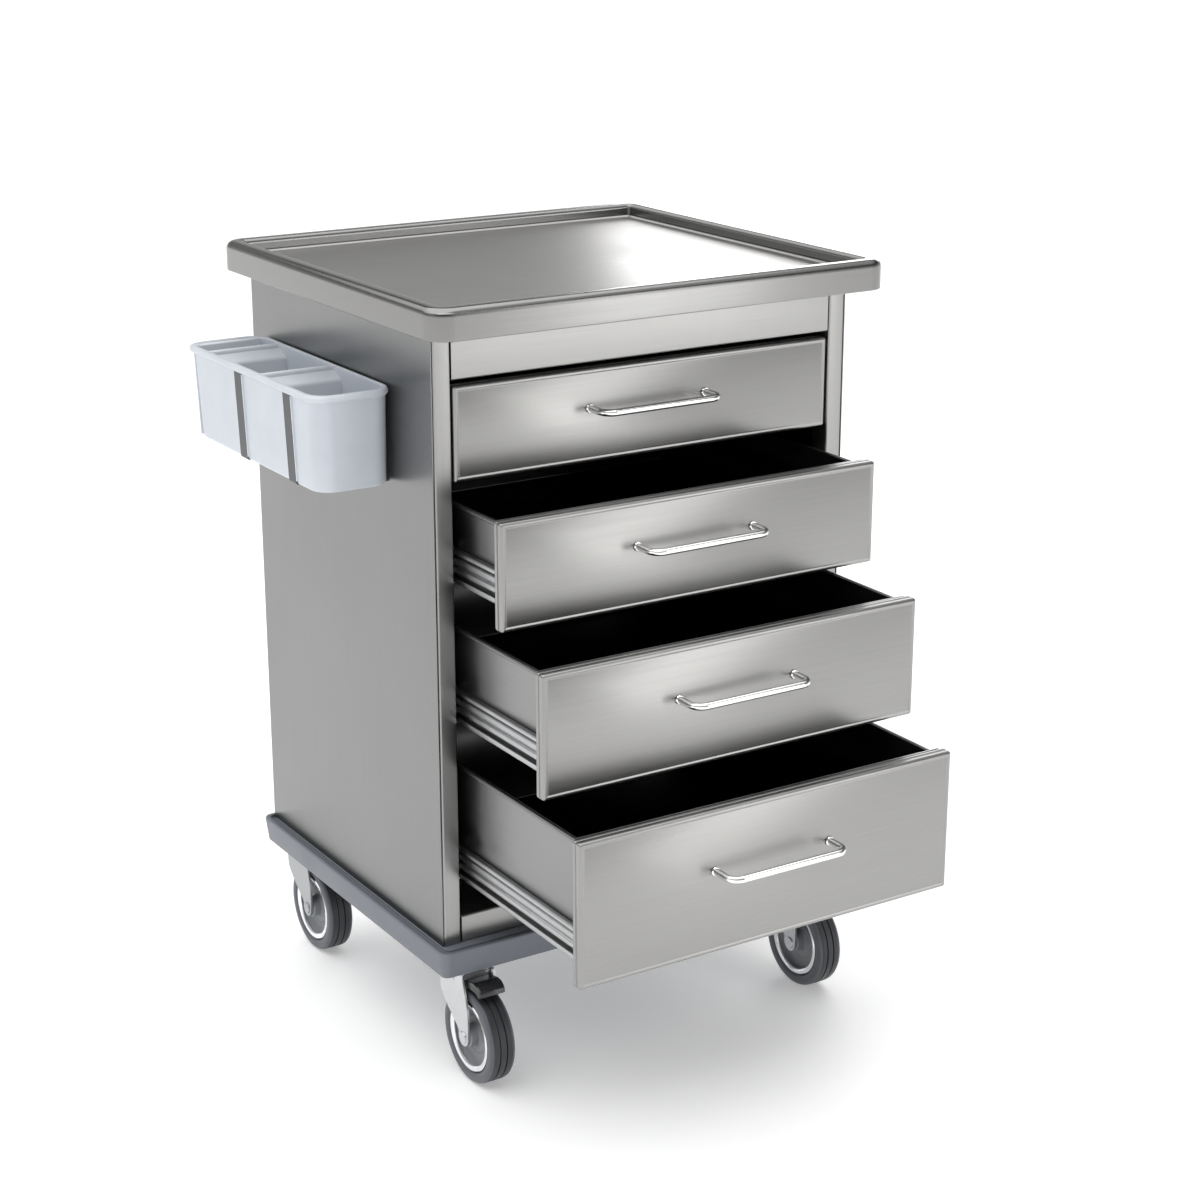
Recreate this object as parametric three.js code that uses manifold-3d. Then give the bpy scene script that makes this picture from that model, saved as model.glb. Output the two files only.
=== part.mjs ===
// Medication cart: a stainless steel cabinet with four drawers on telescopic slides, a rimmed
// worktop, a plastic bumper deck on four swivel casters and a plastic bin on the left side.
// Millimetres, +Z up. The front faces -Y, the bin is on the -X side, the floor is at z = 0.

import * as THREE from 'three';
import { ConvexGeometry } from 'three/addons/geometries/ConvexGeometry.js';
import { mergeVertices } from 'three/addons/utils/BufferGeometryUtils.js';
import Module from 'manifold-3d';

const wasm = await Module();
wasm.setup();

// ---------------------------------------------------------------- driving dimensions

const GAP = 0.3;                 // air left between touching pieces
const SHEET = 1.5;               // steel sheet of the cabinet
const CUT = 10;                  // how far a cutting tool runs past the face it opens
const BITE = 1;                  // how far joined shapes run into each other

const BODY_WIDTH = 600;
const BODY_DEPTH = 496;
const BODY_BOTTOM = 189.3;
const BODY_TOP = 962;

const POST_WIDTH = 26;           // front posts and rear uprights
const POST_DEPTH = 30;
const UPRIGHT_DEPTH = 40;
const RAIL_DEPTH = 28;
const FASCIA_HEIGHT = 58;
const LOWER_RAIL_TOP = 225;
const PAN_LIP = 15;              // folded edge of the back and bottom panels

const TRAY_WIDTH = 650;
const TRAY_FRONT = -304;
const TRAY_BACK = 286;
const TRAY_TOP = 1000;
const TRAY_CORNER = 28;
const RIM_WIDTH = 24;
const RIM_ROLL = 8;              // radius of the rolled outer edge
const RECESS_DEPTH = 18.3;
const FLOOR_MARGIN = 4;          // groove round the worktop floor plate
const INNER_CORNER = 4;          // corner radius inside the tray's rim
const SKIRT_WALL = 4;

const DECK_SIDE_OVERHANG = 14;
const DECK_FRONT_OVERHANG = 25;
const DECK_REAR_OVERHANG = 8;
const DECK_BOTTOM = 156;
const DECK_TOP = 189;
const DECK_CORNER = 12;
const DECK_DRAFT = 4;
const DECK_WALL = 6;

const DRAWER_TOP = 897;
const DRAWER_REVEAL = 24;        // height between two fronts
const DRAWER_HEIGHTS = [116, 132, 154, 183];
const DRAWER_OPEN = [0, 107, 198, 277];
const FRONT_WIDTH = 543;
const FRONT_THICKNESS = 16;
const FRONT_ROUND = 3;
const BOX_WIDTH = 517;
const BOX_LENGTH = 449;
const BOX_SHEET = 1.2;
const BOX_PLATE_GAP = 2.5;       // between the front pan and the box's front plate
const BOX_PLATE_WIDTH = 535;
const BOX_PLATE = 2.5;
const BOX_RAISE = 30;            // box floor above the front's lower edge
const BOX_DROP = 5;              // box rim below the front's upper edge
const BOX_PLATE_MARGIN = 1;      // the front plate is this much lower than the pan, above and below
const BEAD = 4;                  // rolled rim of the box sides
const BEAD_HEIGHT = 6;
const SPACER_RADIUS = 6;
const SPACER_INSET = 40;         // spacers from the box's side walls
const SPACER_MARGIN = 10;        // spacers from the box's floor and rim
const ROUND_SIDES = 8;           // sides of small round sections

const SLIDE_LENGTH = 449;
const SLIDE_START = 22;          // behind the cabinet's front face
const SLIDE_RAISE = 50;          // slide centre above the front's lower edge
const OUTER_SLIDE_HEIGHT = 52;
const INNER_SLIDE_HEIGHT = 42;
const OUTER_SLIDE_REACH = 11;
const INNER_SLIDE_REACH = 8;
const SLIDE_LIP = 5;

const HANDLE_SPACING = 168;
const HANDLE_RADIUS = 4.5;
const HANDLE_REACH = 36;         // front face to bar centre
const HANDLE_BEND = 14;
const HANDLE_STEPS = 30;
const HANDLE_LEVEL = 0.42;       // share of the front's height, from its upper edge

const SWIVEL_X = 255;
const SWIVEL_Y = 226;
const TRAIL = 30;                // the axle sits this far in front of the swivel axis
const TYRE_RADIUS = 62.5;
const TYRE_HALF_WIDTH = 18;
const TREAD_HALF_WIDTH = 10;
const SHOULDER_DROP = 1.8;       // the tyre's shoulder below its tread, and in from its side
const SHOULDER_INSET = 2.5;
const SIDEWALL_TOP = 6;          // the flat sidewall's edges below the tread and above the seat
const SIDEWALL_FOOT = 4;
const SEAT_CHAMFER = 0.5;
const RIM_RADIUS = 47;
const RIM_HALF_WIDTH = 13;
const WEB_RADIUS = 40;
const WEB_HALF_WIDTH = 4;
const BOSS_RADIUS = 14;
const BOSS_HALF_WIDTH = 20;
const AXLE_RADIUS = 5;
const AXLE_HEAD = 8;
const HEAD_HEIGHT = 2;
const WHEEL_SIDES = 24;
const FORK_INSIDE = 20.8;
const FORK_SHEET = 3;
const FORK_FRONT = -30;
const FORK_REAR = 28;
const FORK_TOP = 150;
const LIP_HEIGHT = 9;
const CROWN_DEPTH = 41;          // straight part of the fork's rear edge
const ARM_REAR = [[13, 93], [2, 83], [-10, 75]];
const ARM_FRONT = [[-42, 92], [-39, 112], [-33, 131]];
const EYE_RADIUS = 12;           // round end of the fork's arms
const EYE_START = 30;            // degrees
const EYE_STEP = -35;
const EYE_POINTS = 7;
const RACE_RADIUS = 24;
const PLATE_THICKNESS = 3;
const PLATE_HALF_X = 42;
const PLATE_HALF_Y = 25;
const PEDAL_PIVOT = [-6, 134.5];
const PIN_RADIUS = 3;
const PEDAL_HALF_WIDTH = 18;

const BIN_BACK = 217;
const BIN_LENGTH = 380;
const BIN_REACH = 108.4;
const BIN_STANDOFF = 2.6;
const BIN_TOP = 883;
const BIN_HEIGHT = 120;
const BIN_TAPER = 5;
const BIN_WALL = 3;
const BIN_CORNER = 22;
const BIN_RIM = 5;
const BIN_RIM_HEIGHT = 8;
const BIN_REAR_WALL = 14;
const RIDGE_PLACES = [60, 217];  // cross walls, from the bin's rear edge
const RIDGE_WIDTH = 8;
const SHOULDER_REACH = 22;       // sloping ledge in front of each cross wall
const SHOULDER_DEPTH = 11;
const SHOULDER_START = 3;        // below the bin's upper edge
const BIN_INNER_CORNER = 4;
const STRAP_WIDTH = 20;
const STRAP_SHEET = 1.5;
const STRAP_PLACES = [0.42, 0.79];
const BRACKET_MARGIN = 30;       // the wall plate is this much shorter than the bin at each end

// ---------------------------------------------------------------- worked-out dimensions

const BODY_HALF = BODY_WIDTH / 2;
const FRONT_FACE = -BODY_DEPTH / 2;
const BACK_FACE = BODY_DEPTH / 2;
const OPENING_HALF = BODY_HALF - POST_WIDTH;
const DECK_HALF_X = BODY_HALF + DECK_SIDE_OVERHANG;
const DECK_FRONT = FRONT_FACE - DECK_FRONT_OVERHANG;
const DECK_REAR = BACK_FACE + DECK_REAR_OVERHANG;
const TRAY_BOTTOM = BODY_TOP + GAP;
const RECESS_FLOOR = TRAY_TOP - RECESS_DEPTH;
const BIN_OUTER = -BODY_HALF - BIN_STANDOFF - BIN_REACH;
const BIN_INNER = -BODY_HALF - BIN_STANDOFF;

// ---------------------------------------------------------------- materials

const FINISHES = {
  steel: { color: 0xa3a29f, roughness: 0.32, metalness: 1 },
  bright: { color: 0xc9c9c6, roughness: 0.15, metalness: 1 },
  zinc: { color: 0xb4b6b6, roughness: 0.4, metalness: 0.9 },
  deck: { color: 0x747a84, roughness: 0.5, metalness: 0 },
  bin: { color: 0xc9cfda, roughness: 0.45, metalness: 0 },
  tyre: { color: 0x45484d, roughness: 0.7, metalness: 0 },
  hub: { color: 0x8c8f92, roughness: 0.5, metalness: 0 },
  black: { color: 0x151618, roughness: 0.25, metalness: 0 },
};

// ---------------------------------------------------------------- geometry helpers

/** A closed three.js geometry as a manifold solid. */
function toSolid(geometry) {
  const bare = geometry.clone();
  bare.deleteAttribute('normal');
  bare.deleteAttribute('uv');
  const merged = mergeVertices(bare);
  return new wasm.Manifold(new wasm.Mesh({
    numProp: 3,
    vertProperties: merged.attributes.position.array,
    triVerts: Uint32Array.from(merged.index.array),
  }));
}

/** A manifold solid as a three.js geometry. */
function toGeometry(solid) {
  const mesh = solid.getMesh();
  const geometry = new THREE.BufferGeometry();
  geometry.setAttribute('position', new THREE.BufferAttribute(mesh.vertProperties, 3));
  geometry.setIndex(new THREE.BufferAttribute(mesh.triVerts, 1));
  geometry.computeVertexNormals();
  return geometry;
}

/** Joins the first list of geometries and cuts the second list from the result. */
function carve(joined, cuts = []) {
  const whole = joined.map(toSolid).reduce((sum, solid) => sum.add(solid));
  return toGeometry(cuts.map(toSolid).reduce((rest, tool) => rest.subtract(tool), whole));
}

function block([x0, x1], [y0, y1], [z0, z1]) {
  const geometry = new THREE.BoxGeometry(x1 - x0, y1 - y0, z1 - z0);
  return geometry.translate((x0 + x1) / 2, (y0 + y1) / 2, (z0 + z1) / 2);
}

const ALONG_X = new THREE.Matrix4().set(0, 0, 1, 0, 1, 0, 0, 0, 0, 1, 0, 0, 0, 0, 0, 1);
const ALONG_Y = new THREE.Matrix4().set(0, 1, 0, 0, 0, 0, 1, 0, 1, 0, 0, 0, 0, 0, 0, 1);

/** The points of an outline, counter-clockwise. */
function turnedLeft(outline) {
  const points = outline.map(([u, v]) => new THREE.Vector2(u, v));
  return THREE.ShapeUtils.isClockWise(points) ? points.reverse() : points;
}

function prism(outline, from, to, holes = []) {
  const shape = new THREE.Shape(turnedLeft(outline));
  shape.holes = holes.map((hole) => new THREE.Path(turnedLeft(hole)));
  const geometry = new THREE.ExtrudeGeometry(shape, { depth: to - from, bevelEnabled: false });
  return geometry.translate(0, 0, from);
}

/** A prism along X from an outline in (y, z). */
function prismX(outline, from, to) {
  return prism(outline, from, to).applyMatrix4(ALONG_X);
}

/** A prism along Y from an outline in (x, z). */
function prismY(outline, from, to) {
  return prism(outline.map(([x, z]) => [z, x]), from, to).applyMatrix4(ALONG_Y);
}

/** A cylinder along X. */
function rod(radius, [x0, x1], [y, z], sides = 12) {
  const geometry = new THREE.CylinderGeometry(radius, radius, x1 - x0, sides);
  return geometry.rotateZ(-Math.PI / 2).translate((x0 + x1) / 2, y, z);
}

/** The outline of a rectangle with rounded corners. */
function roundedLoop([u0, u1], [v0, v1], radius, steps = 4) {
  const corners = [
    [u1 - radius, v1 - radius, 0],
    [u0 + radius, v1 - radius, Math.PI / 2],
    [u0 + radius, v0 + radius, Math.PI],
    [u1 - radius, v0 + radius, 1.5 * Math.PI],
  ];
  return corners.flatMap(([u, v, start]) => Array.from({ length: steps + 1 }, (_, step) => {
    const angle = start + (step / steps) * (Math.PI / 2);
    return [u + radius * Math.cos(angle), v + radius * Math.sin(angle)];
  }));
}

/** The convex solid through several horizontal outlines, each given with its height. */
function loft(levels) {
  const points = levels.flatMap(([outline, z]) => outline.map(([x, y]) => new THREE.Vector3(x, y, z)));
  return new ConvexGeometry(points);
}

/** A solid of revolution about X from a closed profile of (radius, x). */
function turned(profile, sides) {
  const points = [...profile, profile[0]].map(([radius, x]) => new THREE.Vector2(radius, -x));
  const geometry = new THREE.LatheGeometry(points.reverse(), sides, Math.PI / sides);
  return geometry.rotateZ(Math.PI / 2);
}

/** Scales radii so that the flats of a polygon touch the true circle. */
function circumscribed(radius) {
  return radius / Math.cos(Math.PI / WHEEL_SIDES);
}

const cart = new THREE.Group();

function addPart(name, finish, geometry, parent = cart) {
  const part = new THREE.Mesh(geometry, new THREE.MeshStandardMaterial(FINISHES[finish]));
  part.name = name;
  parent.add(part);
  return part;
}

/** Outlines in the first coordinate, mirrored for the other side of the cart. */
function mirrored(outline, side) {
  return outline.map(([u, v]) => [side * u, v]);
}

const SIDES = [['left', -1], ['right', 1]];

// ---------------------------------------------------------------- cabinet

/** Side skin whose rear edge folds into a square upright that carries the slides. */
function sidePanel(side) {
  const outline = [
    [BODY_HALF, FRONT_FACE],
    [BODY_HALF, BACK_FACE],
    [OPENING_HALF, BACK_FACE],
    [OPENING_HALF, BACK_FACE - UPRIGHT_DEPTH],
    [OPENING_HALF + SHEET, BACK_FACE - UPRIGHT_DEPTH],
    [OPENING_HALF + SHEET, BACK_FACE - SHEET],
    [BODY_HALF - SHEET, BACK_FACE - SHEET],
    [BODY_HALF - SHEET, FRONT_FACE],
  ];
  return prism(mirrored(outline, side), BODY_BOTTOM, BODY_TOP);
}

/** Square tube at a front corner, inside the side skin. */
function frontPost(side) {
  const outer = BODY_HALF - SHEET - GAP;
  const back = FRONT_FACE + POST_DEPTH;
  const outline = [
    [OPENING_HALF, FRONT_FACE],
    [outer, FRONT_FACE],
    [outer, back],
    [OPENING_HALF, back],
  ];
  const bore = [
    [OPENING_HALF + SHEET, FRONT_FACE + SHEET],
    [outer - SHEET, FRONT_FACE + SHEET],
    [outer - SHEET, back - SHEET],
    [OPENING_HALF + SHEET, back - SHEET],
  ];
  return prism(mirrored(outline, side), BODY_BOTTOM, BODY_TOP, [mirrored(bore, side)]);
}

/** Cross rail between the posts: a channel that is open to the rear. */
function crossRail(bottom, top) {
  const back = FRONT_FACE + RAIL_DEPTH;
  const outline = [
    [FRONT_FACE, bottom],
    [back, bottom],
    [back, bottom + SHEET],
    [FRONT_FACE + SHEET, bottom + SHEET],
    [FRONT_FACE + SHEET, top - SHEET],
    [back, top - SHEET],
    [back, top],
    [FRONT_FACE, top],
  ];
  return prismX(outline, -OPENING_HALF + GAP, OPENING_HALF - GAP);
}

/** Back sheet with its two vertical edges folded forward. */
function backPanel() {
  const half = OPENING_HALF - GAP;
  const outline = [
    [-half, BACK_FACE],
    [-half, BACK_FACE - PAN_LIP],
    [-half + SHEET, BACK_FACE - PAN_LIP],
    [-half + SHEET, BACK_FACE - SHEET],
    [half - SHEET, BACK_FACE - SHEET],
    [half - SHEET, BACK_FACE - PAN_LIP],
    [half, BACK_FACE - PAN_LIP],
    [half, BACK_FACE],
  ];
  return prism(outline, BODY_BOTTOM, BODY_TOP);
}

/** Bottom sheet with its front and rear edges folded up. */
function bottomPanel() {
  const front = FRONT_FACE + POST_DEPTH + GAP;
  const back = BACK_FACE - UPRIGHT_DEPTH - GAP;
  const outline = [
    [front, BODY_BOTTOM],
    [back, BODY_BOTTOM],
    [back, BODY_BOTTOM + PAN_LIP],
    [back - SHEET, BODY_BOTTOM + PAN_LIP],
    [back - SHEET, BODY_BOTTOM + SHEET],
    [front + SHEET, BODY_BOTTOM + SHEET],
    [front + SHEET, BODY_BOTTOM + PAN_LIP],
    [front, BODY_BOTTOM + PAN_LIP],
  ];
  const half = BODY_HALF - SHEET - GAP;
  return prismX(outline, -half, half);
}

/** Shallow pan, open below, that closes the cabinet and carries the worktop. */
function topPanel() {
  const bottom = TRAY_BOTTOM;
  const top = RECESS_FLOOR - SHEET - GAP;
  const across = [-BODY_HALF, BODY_HALF];
  const along = [FRONT_FACE, BACK_FACE];
  const inside = ([low, high]) => [low + SHEET, high - SHEET];
  return carve(
    [block(across, along, [bottom, top])],
    [block(inside(across), inside(along), [bottom - CUT, top - SHEET])],
  );
}

addPart('base_deck', 'deck', baseDeck());
addPart('bottom_panel', 'steel', bottomPanel());
addPart('back_panel', 'steel', backPanel());
addPart('top_panel', 'steel', topPanel());
addPart('fascia', 'steel', crossRail(BODY_TOP - FASCIA_HEIGHT, BODY_TOP));
addPart('lower_rail', 'steel', crossRail(BODY_BOTTOM, LOWER_RAIL_TOP));
for (const [name, side] of SIDES) {
  addPart(`side_panel_${name}`, 'steel', sidePanel(side));
  addPart(`front_post_${name}`, 'steel', frontPost(side));
}

// ---------------------------------------------------------------- worktop

function trayLoop(inset, radius) {
  const half = TRAY_WIDTH / 2 - inset;
  return roundedLoop([-half, half], [TRAY_FRONT + inset, TRAY_BACK - inset], radius);
}

/** Pressed tray: skirt, rolled hollow rim and recessed base sheet. */
function worktopTray() {
  const outline = trayLoop(RIM_ROLL, TRAY_CORNER - RIM_ROLL).map(([x, y]) => new THREE.Vector2(x, y));
  const height = TRAY_TOP - TRAY_BOTTOM;
  const blank = new THREE.ExtrudeGeometry(new THREE.Shape(outline), {
    depth: height - RIM_ROLL,
    bevelThickness: RIM_ROLL,
    bevelSize: RIM_ROLL,
    bevelSegments: 3,
  }).translate(0, 0, TRAY_BOTTOM);
  const recess = prism(trayLoop(RIM_WIDTH, INNER_CORNER), RECESS_FLOOR, TRAY_TOP + CUT);
  const underside = prism(trayLoop(SHEET, TRAY_CORNER - SHEET), TRAY_BOTTOM - CUT, RECESS_FLOOR - SHEET);
  const rimHollow = prism(
    trayLoop(SKIRT_WALL, TRAY_CORNER - SKIRT_WALL),
    TRAY_BOTTOM - CUT,
    TRAY_TOP - 2 * SHEET,
    [trayLoop(RIM_WIDTH - SHEET, INNER_CORNER)],
  );
  const half = TRAY_WIDTH / 2 + CUT;
  const trim = block([-half, half], [TRAY_FRONT - CUT, TRAY_BACK + CUT], [TRAY_BOTTOM - CUT, TRAY_BOTTOM]);
  return carve([blank], [recess, underside, rimHollow, trim]);
}

function worktopFloor() {
  const bottom = RECESS_FLOOR + GAP;
  return prism(trayLoop(RIM_WIDTH + FLOOR_MARGIN, INNER_CORNER), bottom, bottom + SHEET);
}

addPart('worktop_tray', 'steel', worktopTray());
addPart('worktop_floor', 'steel', worktopFloor());

// ---------------------------------------------------------------- bumper deck

/** Moulded deck with a bevelled edge, hollow below except for the four caster pads. */
function baseDeck() {
  const chamfer = 2;
  const loop = (inset) => roundedLoop(
    [-DECK_HALF_X + inset, DECK_HALF_X - inset],
    [DECK_FRONT + inset, DECK_REAR - inset],
    DECK_CORNER - inset,
  );
  const blank = loft([
    [loop(chamfer), DECK_TOP],
    [loop(0), DECK_TOP - chamfer],
    [loop(DECK_DRAFT), DECK_BOTTOM],
  ]);
  const pocketTop = DECK_TOP - DECK_WALL;
  const edge = DECK_DRAFT + DECK_WALL;
  const pocket = (halfX, ys) => block([-halfX, halfX], ys, [DECK_BOTTOM - CUT, pocketTop]);
  const padX = SWIVEL_X - PLATE_HALF_X - CUT;
  const padY = SWIVEL_Y - PLATE_HALF_Y - CUT;
  return carve([blank], [
    pocket(DECK_HALF_X - edge, [-padY, padY]),
    pocket(padX, [DECK_FRONT + edge, DECK_REAR - edge]),
  ]);
}

// ---------------------------------------------------------------- drawers

/** Front pan with rounded edges, open to the rear, drawn in its closed place. */
function drawerFront(bottom, top) {
  const half = FRONT_WIDTH / 2;
  const outline = roundedLoop(
    [bottom + FRONT_ROUND, top - FRONT_ROUND],
    [-half + FRONT_ROUND, half - FRONT_ROUND],
    FRONT_ROUND,
    2,
  );
  const shape = new THREE.Shape(outline.map(([z, x]) => new THREE.Vector2(z, x)));
  const blank = new THREE.ExtrudeGeometry(shape, {
    depth: FRONT_THICKNESS,
    bevelThickness: FRONT_ROUND,
    bevelSize: FRONT_ROUND,
    bevelSegments: 2,
  }).translate(0, 0, FRONT_FACE + FRONT_ROUND).applyMatrix4(ALONG_Y);
  const back = FRONT_FACE + FRONT_THICKNESS;
  const trim = block([-half - CUT, half + CUT], [back, back + CUT], [bottom - CUT, top + CUT]);
  const pocket = block(
    [-half + FRONT_ROUND, half - FRONT_ROUND],
    [FRONT_FACE + SHEET, back + CUT],
    [bottom + FRONT_ROUND, top - FRONT_ROUND],
  );
  return carve([blank], [trim, pocket]);
}

/** Folded box with beaded side rims, a wide front plate and four spacers towards the front. */
function drawerBox(bottom, top) {
  const half = BOX_WIDTH / 2;
  const plateFront = FRONT_FACE + FRONT_THICKNESS + BOX_PLATE_GAP;
  const boxFront = plateFront + BOX_PLATE;
  const boxBack = plateFront + BOX_LENGTH;
  const low = bottom + BOX_RAISE;
  const high = top - BOX_DROP;
  const plateHalf = BOX_PLATE_WIDTH / 2;
  const shell = block([-half, half], [plateFront, boxBack], [low, high]);
  const plate = block(
    [-plateHalf, plateHalf],
    [plateFront, boxFront],
    [bottom + BOX_PLATE_MARGIN, top - BOX_PLATE_MARGIN],
  );
  const beads = SIDES.map(([, side]) => {
    const edges = [side * (half - BOX_SHEET), side * (half + BEAD)].sort((a, b) => a - b);
    return block(edges, [plateFront + BITE, boxBack], [high - BEAD_HEIGHT, high]);
  });
  const spacerEnd = plateFront + BITE;
  const spacerLength = spacerEnd - (FRONT_FACE + SHEET + GAP);
  const levels = [low + SPACER_MARGIN, high - SPACER_MARGIN];
  const spacers = SIDES.flatMap(([, side]) => levels.map((z) => {
    const spacer = new THREE.CylinderGeometry(SPACER_RADIUS, SPACER_RADIUS, spacerLength, ROUND_SIDES);
    return spacer.translate(side * (half - SPACER_INSET), spacerEnd - spacerLength / 2, z);
  }));
  const hollow = block(
    [-half + BOX_SHEET, half - BOX_SHEET],
    [boxFront, boxBack - BOX_SHEET],
    [low + BOX_SHEET, top + CUT],
  );
  return carve([shell, plate, ...beads, ...spacers], [hollow]);
}

/** Round bar with two bends, its feet on the front's face. */
function drawerHandle(bottom, top) {
  const level = top - HANDLE_LEVEL * (top - bottom);
  const half = HANDLE_SPACING / 2;
  const foot = FRONT_FACE - GAP;
  const bar = FRONT_FACE - HANDLE_REACH;
  const at = (x, y) => new THREE.Vector3(x, y, level);
  const path = new THREE.CurvePath();
  path.add(new THREE.LineCurve3(at(-half, foot), at(-half, bar + HANDLE_BEND)));
  path.add(new THREE.QuadraticBezierCurve3(
    at(-half, bar + HANDLE_BEND),
    at(-half, bar),
    at(-half + HANDLE_BEND, bar),
  ));
  path.add(new THREE.LineCurve3(at(-half + HANDLE_BEND, bar), at(half - HANDLE_BEND, bar)));
  path.add(new THREE.QuadraticBezierCurve3(
    at(half - HANDLE_BEND, bar),
    at(half, bar),
    at(half, bar + HANDLE_BEND),
  ));
  path.add(new THREE.LineCurve3(at(half, bar + HANDLE_BEND), at(half, foot)));
  const section = Array.from({ length: ROUND_SIDES }, (_, index) => {
    const angle = (index / ROUND_SIDES) * 2 * Math.PI;
    return new THREE.Vector2(HANDLE_RADIUS * Math.cos(angle), HANDLE_RADIUS * Math.sin(angle));
  });
  return new THREE.ExtrudeGeometry(new THREE.Shape(section), { extrudePath: path, steps: HANDLE_STEPS });
}

/** Channel slide: the web stands at one x, the flanges and lips reach towards another. */
function slide(webX, reachX, height, level) {
  const inward = Math.sign(reachX - webX);
  const web = webX + inward * SHEET;
  const lip = reachX - inward * SHEET;
  const outline = [
    [webX, -height / 2],
    [reachX, -height / 2],
    [reachX, -height / 2 + SLIDE_LIP],
    [lip, -height / 2 + SLIDE_LIP],
    [lip, -height / 2 + SHEET],
    [web, -height / 2 + SHEET],
    [web, height / 2 - SHEET],
    [lip, height / 2 - SHEET],
    [lip, height / 2 - SLIDE_LIP],
    [reachX, height / 2 - SLIDE_LIP],
    [reachX, height / 2],
    [webX, height / 2],
  ];
  const start = FRONT_FACE + SLIDE_START;
  return prismY(outline.map(([x, z]) => [x, z + level]), start, start + SLIDE_LENGTH);
}

let drawerTop = DRAWER_TOP;
DRAWER_HEIGHTS.forEach((height, index) => {
  const number = index + 1;
  const top = drawerTop;
  const bottom = top - height;
  const level = bottom + SLIDE_RAISE;
  const drawer = new THREE.Group();
  drawer.position.y = -DRAWER_OPEN[index];
  cart.add(drawer);
  addPart(`drawer_front_${number}`, 'steel', drawerFront(bottom, top), drawer);
  addPart(`drawer_box_${number}`, 'steel', drawerBox(bottom, top), drawer);
  addPart(`drawer_handle_${number}`, 'bright', drawerHandle(bottom, top), drawer);
  for (const [name, side] of SIDES) {
    const boxWall = side * (BOX_WIDTH / 2 + GAP);
    const cabinetWall = side * (OPENING_HALF - GAP);
    const innerReach = boxWall + side * INNER_SLIDE_REACH;
    const outerReach = cabinetWall - side * OUTER_SLIDE_REACH;
    const inner = slide(boxWall, innerReach, INNER_SLIDE_HEIGHT, level);
    const outer = slide(cabinetWall, outerReach, OUTER_SLIDE_HEIGHT, level);
    addPart(`drawer_slide_${number}_${name}`, 'zinc', inner, drawer);
    addPart(`cabinet_slide_${number}_${name}`, 'zinc', outer);
  }
  drawerTop = bottom - DRAWER_REVEAL;
});

// ---------------------------------------------------------------- casters

/** Top plate with the swivel race under it, about the swivel axis. */
function casterPlate() {
  const top = DECK_BOTTOM - GAP;
  const plate = block(
    [-PLATE_HALF_X, PLATE_HALF_X],
    [-PLATE_HALF_Y, PLATE_HALF_Y],
    [top - PLATE_THICKNESS, top],
  );
  const bottom = FORK_TOP + GAP;
  const height = top - BITE - bottom;
  const race = new THREE.CylinderGeometry(RACE_RADIUS, RACE_RADIUS, height, WHEEL_SIDES)
    .rotateX(Math.PI / 2)
    .translate(0, 0, bottom + height / 2);
  return carve([plate, race]);
}

/** Pressed fork with two tapering arms, its riveted axle and the pin of the brake pedal. */
function casterFork(hasPedal) {
  const eyeArc = Array.from({ length: EYE_POINTS }, (_, index) => {
    const angle = THREE.MathUtils.degToRad(EYE_START + EYE_STEP * index);
    return [-TRAIL + EYE_RADIUS * Math.cos(angle), TYRE_RADIUS + EYE_RADIUS * Math.sin(angle)];
  });
  const arm = [
    [FORK_FRONT, FORK_TOP],
    [FORK_REAR, FORK_TOP],
    [FORK_REAR, FORK_TOP - CROWN_DEPTH],
    ...ARM_REAR,
    ...eyeArc,
    ...ARM_FRONT,
    [FORK_FRONT, FORK_TOP - LIP_HEIGHT],
  ];
  const outside = FORK_INSIDE + FORK_SHEET;
  const across = [-outside, outside];
  const lipBottom = FORK_TOP - LIP_HEIGHT;
  const pieces = [
    block(across, [FORK_FRONT, FORK_REAR], [FORK_TOP - FORK_SHEET, FORK_TOP]),
    block(across, [FORK_FRONT, FORK_FRONT + FORK_SHEET], [lipBottom, FORK_TOP]),
    block(across, [FORK_REAR - FORK_SHEET, FORK_REAR], [lipBottom, FORK_TOP]),
    prismX(arm, -outside, -FORK_INSIDE),
    prismX(arm, FORK_INSIDE, outside),
    rod(AXLE_RADIUS, across, [-TRAIL, TYRE_RADIUS]),
    rod(AXLE_HEAD, [outside - BITE, outside + HEAD_HEIGHT], [-TRAIL, TYRE_RADIUS]),
    rod(AXLE_HEAD, [-outside - HEAD_HEIGHT, -outside + BITE], [-TRAIL, TYRE_RADIUS]),
  ];
  if (hasPedal) {
    pieces.push(rod(PIN_RADIUS, across, PEDAL_PIVOT));
  }
  return carve(pieces);
}

/** Wheel core about the X axis: bored boss, thin web and tyre seat. */
function wheelHub() {
  const bore = circumscribed(AXLE_RADIUS + GAP);
  return turned([
    [bore, -BOSS_HALF_WIDTH],
    [BOSS_RADIUS, -BOSS_HALF_WIDTH],
    [BOSS_RADIUS, -WEB_HALF_WIDTH],
    [WEB_RADIUS, -WEB_HALF_WIDTH],
    [WEB_RADIUS, -RIM_HALF_WIDTH],
    [RIM_RADIUS, -RIM_HALF_WIDTH],
    [RIM_RADIUS, RIM_HALF_WIDTH],
    [WEB_RADIUS, RIM_HALF_WIDTH],
    [WEB_RADIUS, WEB_HALF_WIDTH],
    [BOSS_RADIUS, WEB_HALF_WIDTH],
    [BOSS_RADIUS, BOSS_HALF_WIDTH],
    [bore, BOSS_HALF_WIDTH],
  ], WHEEL_SIDES);
}

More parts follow.
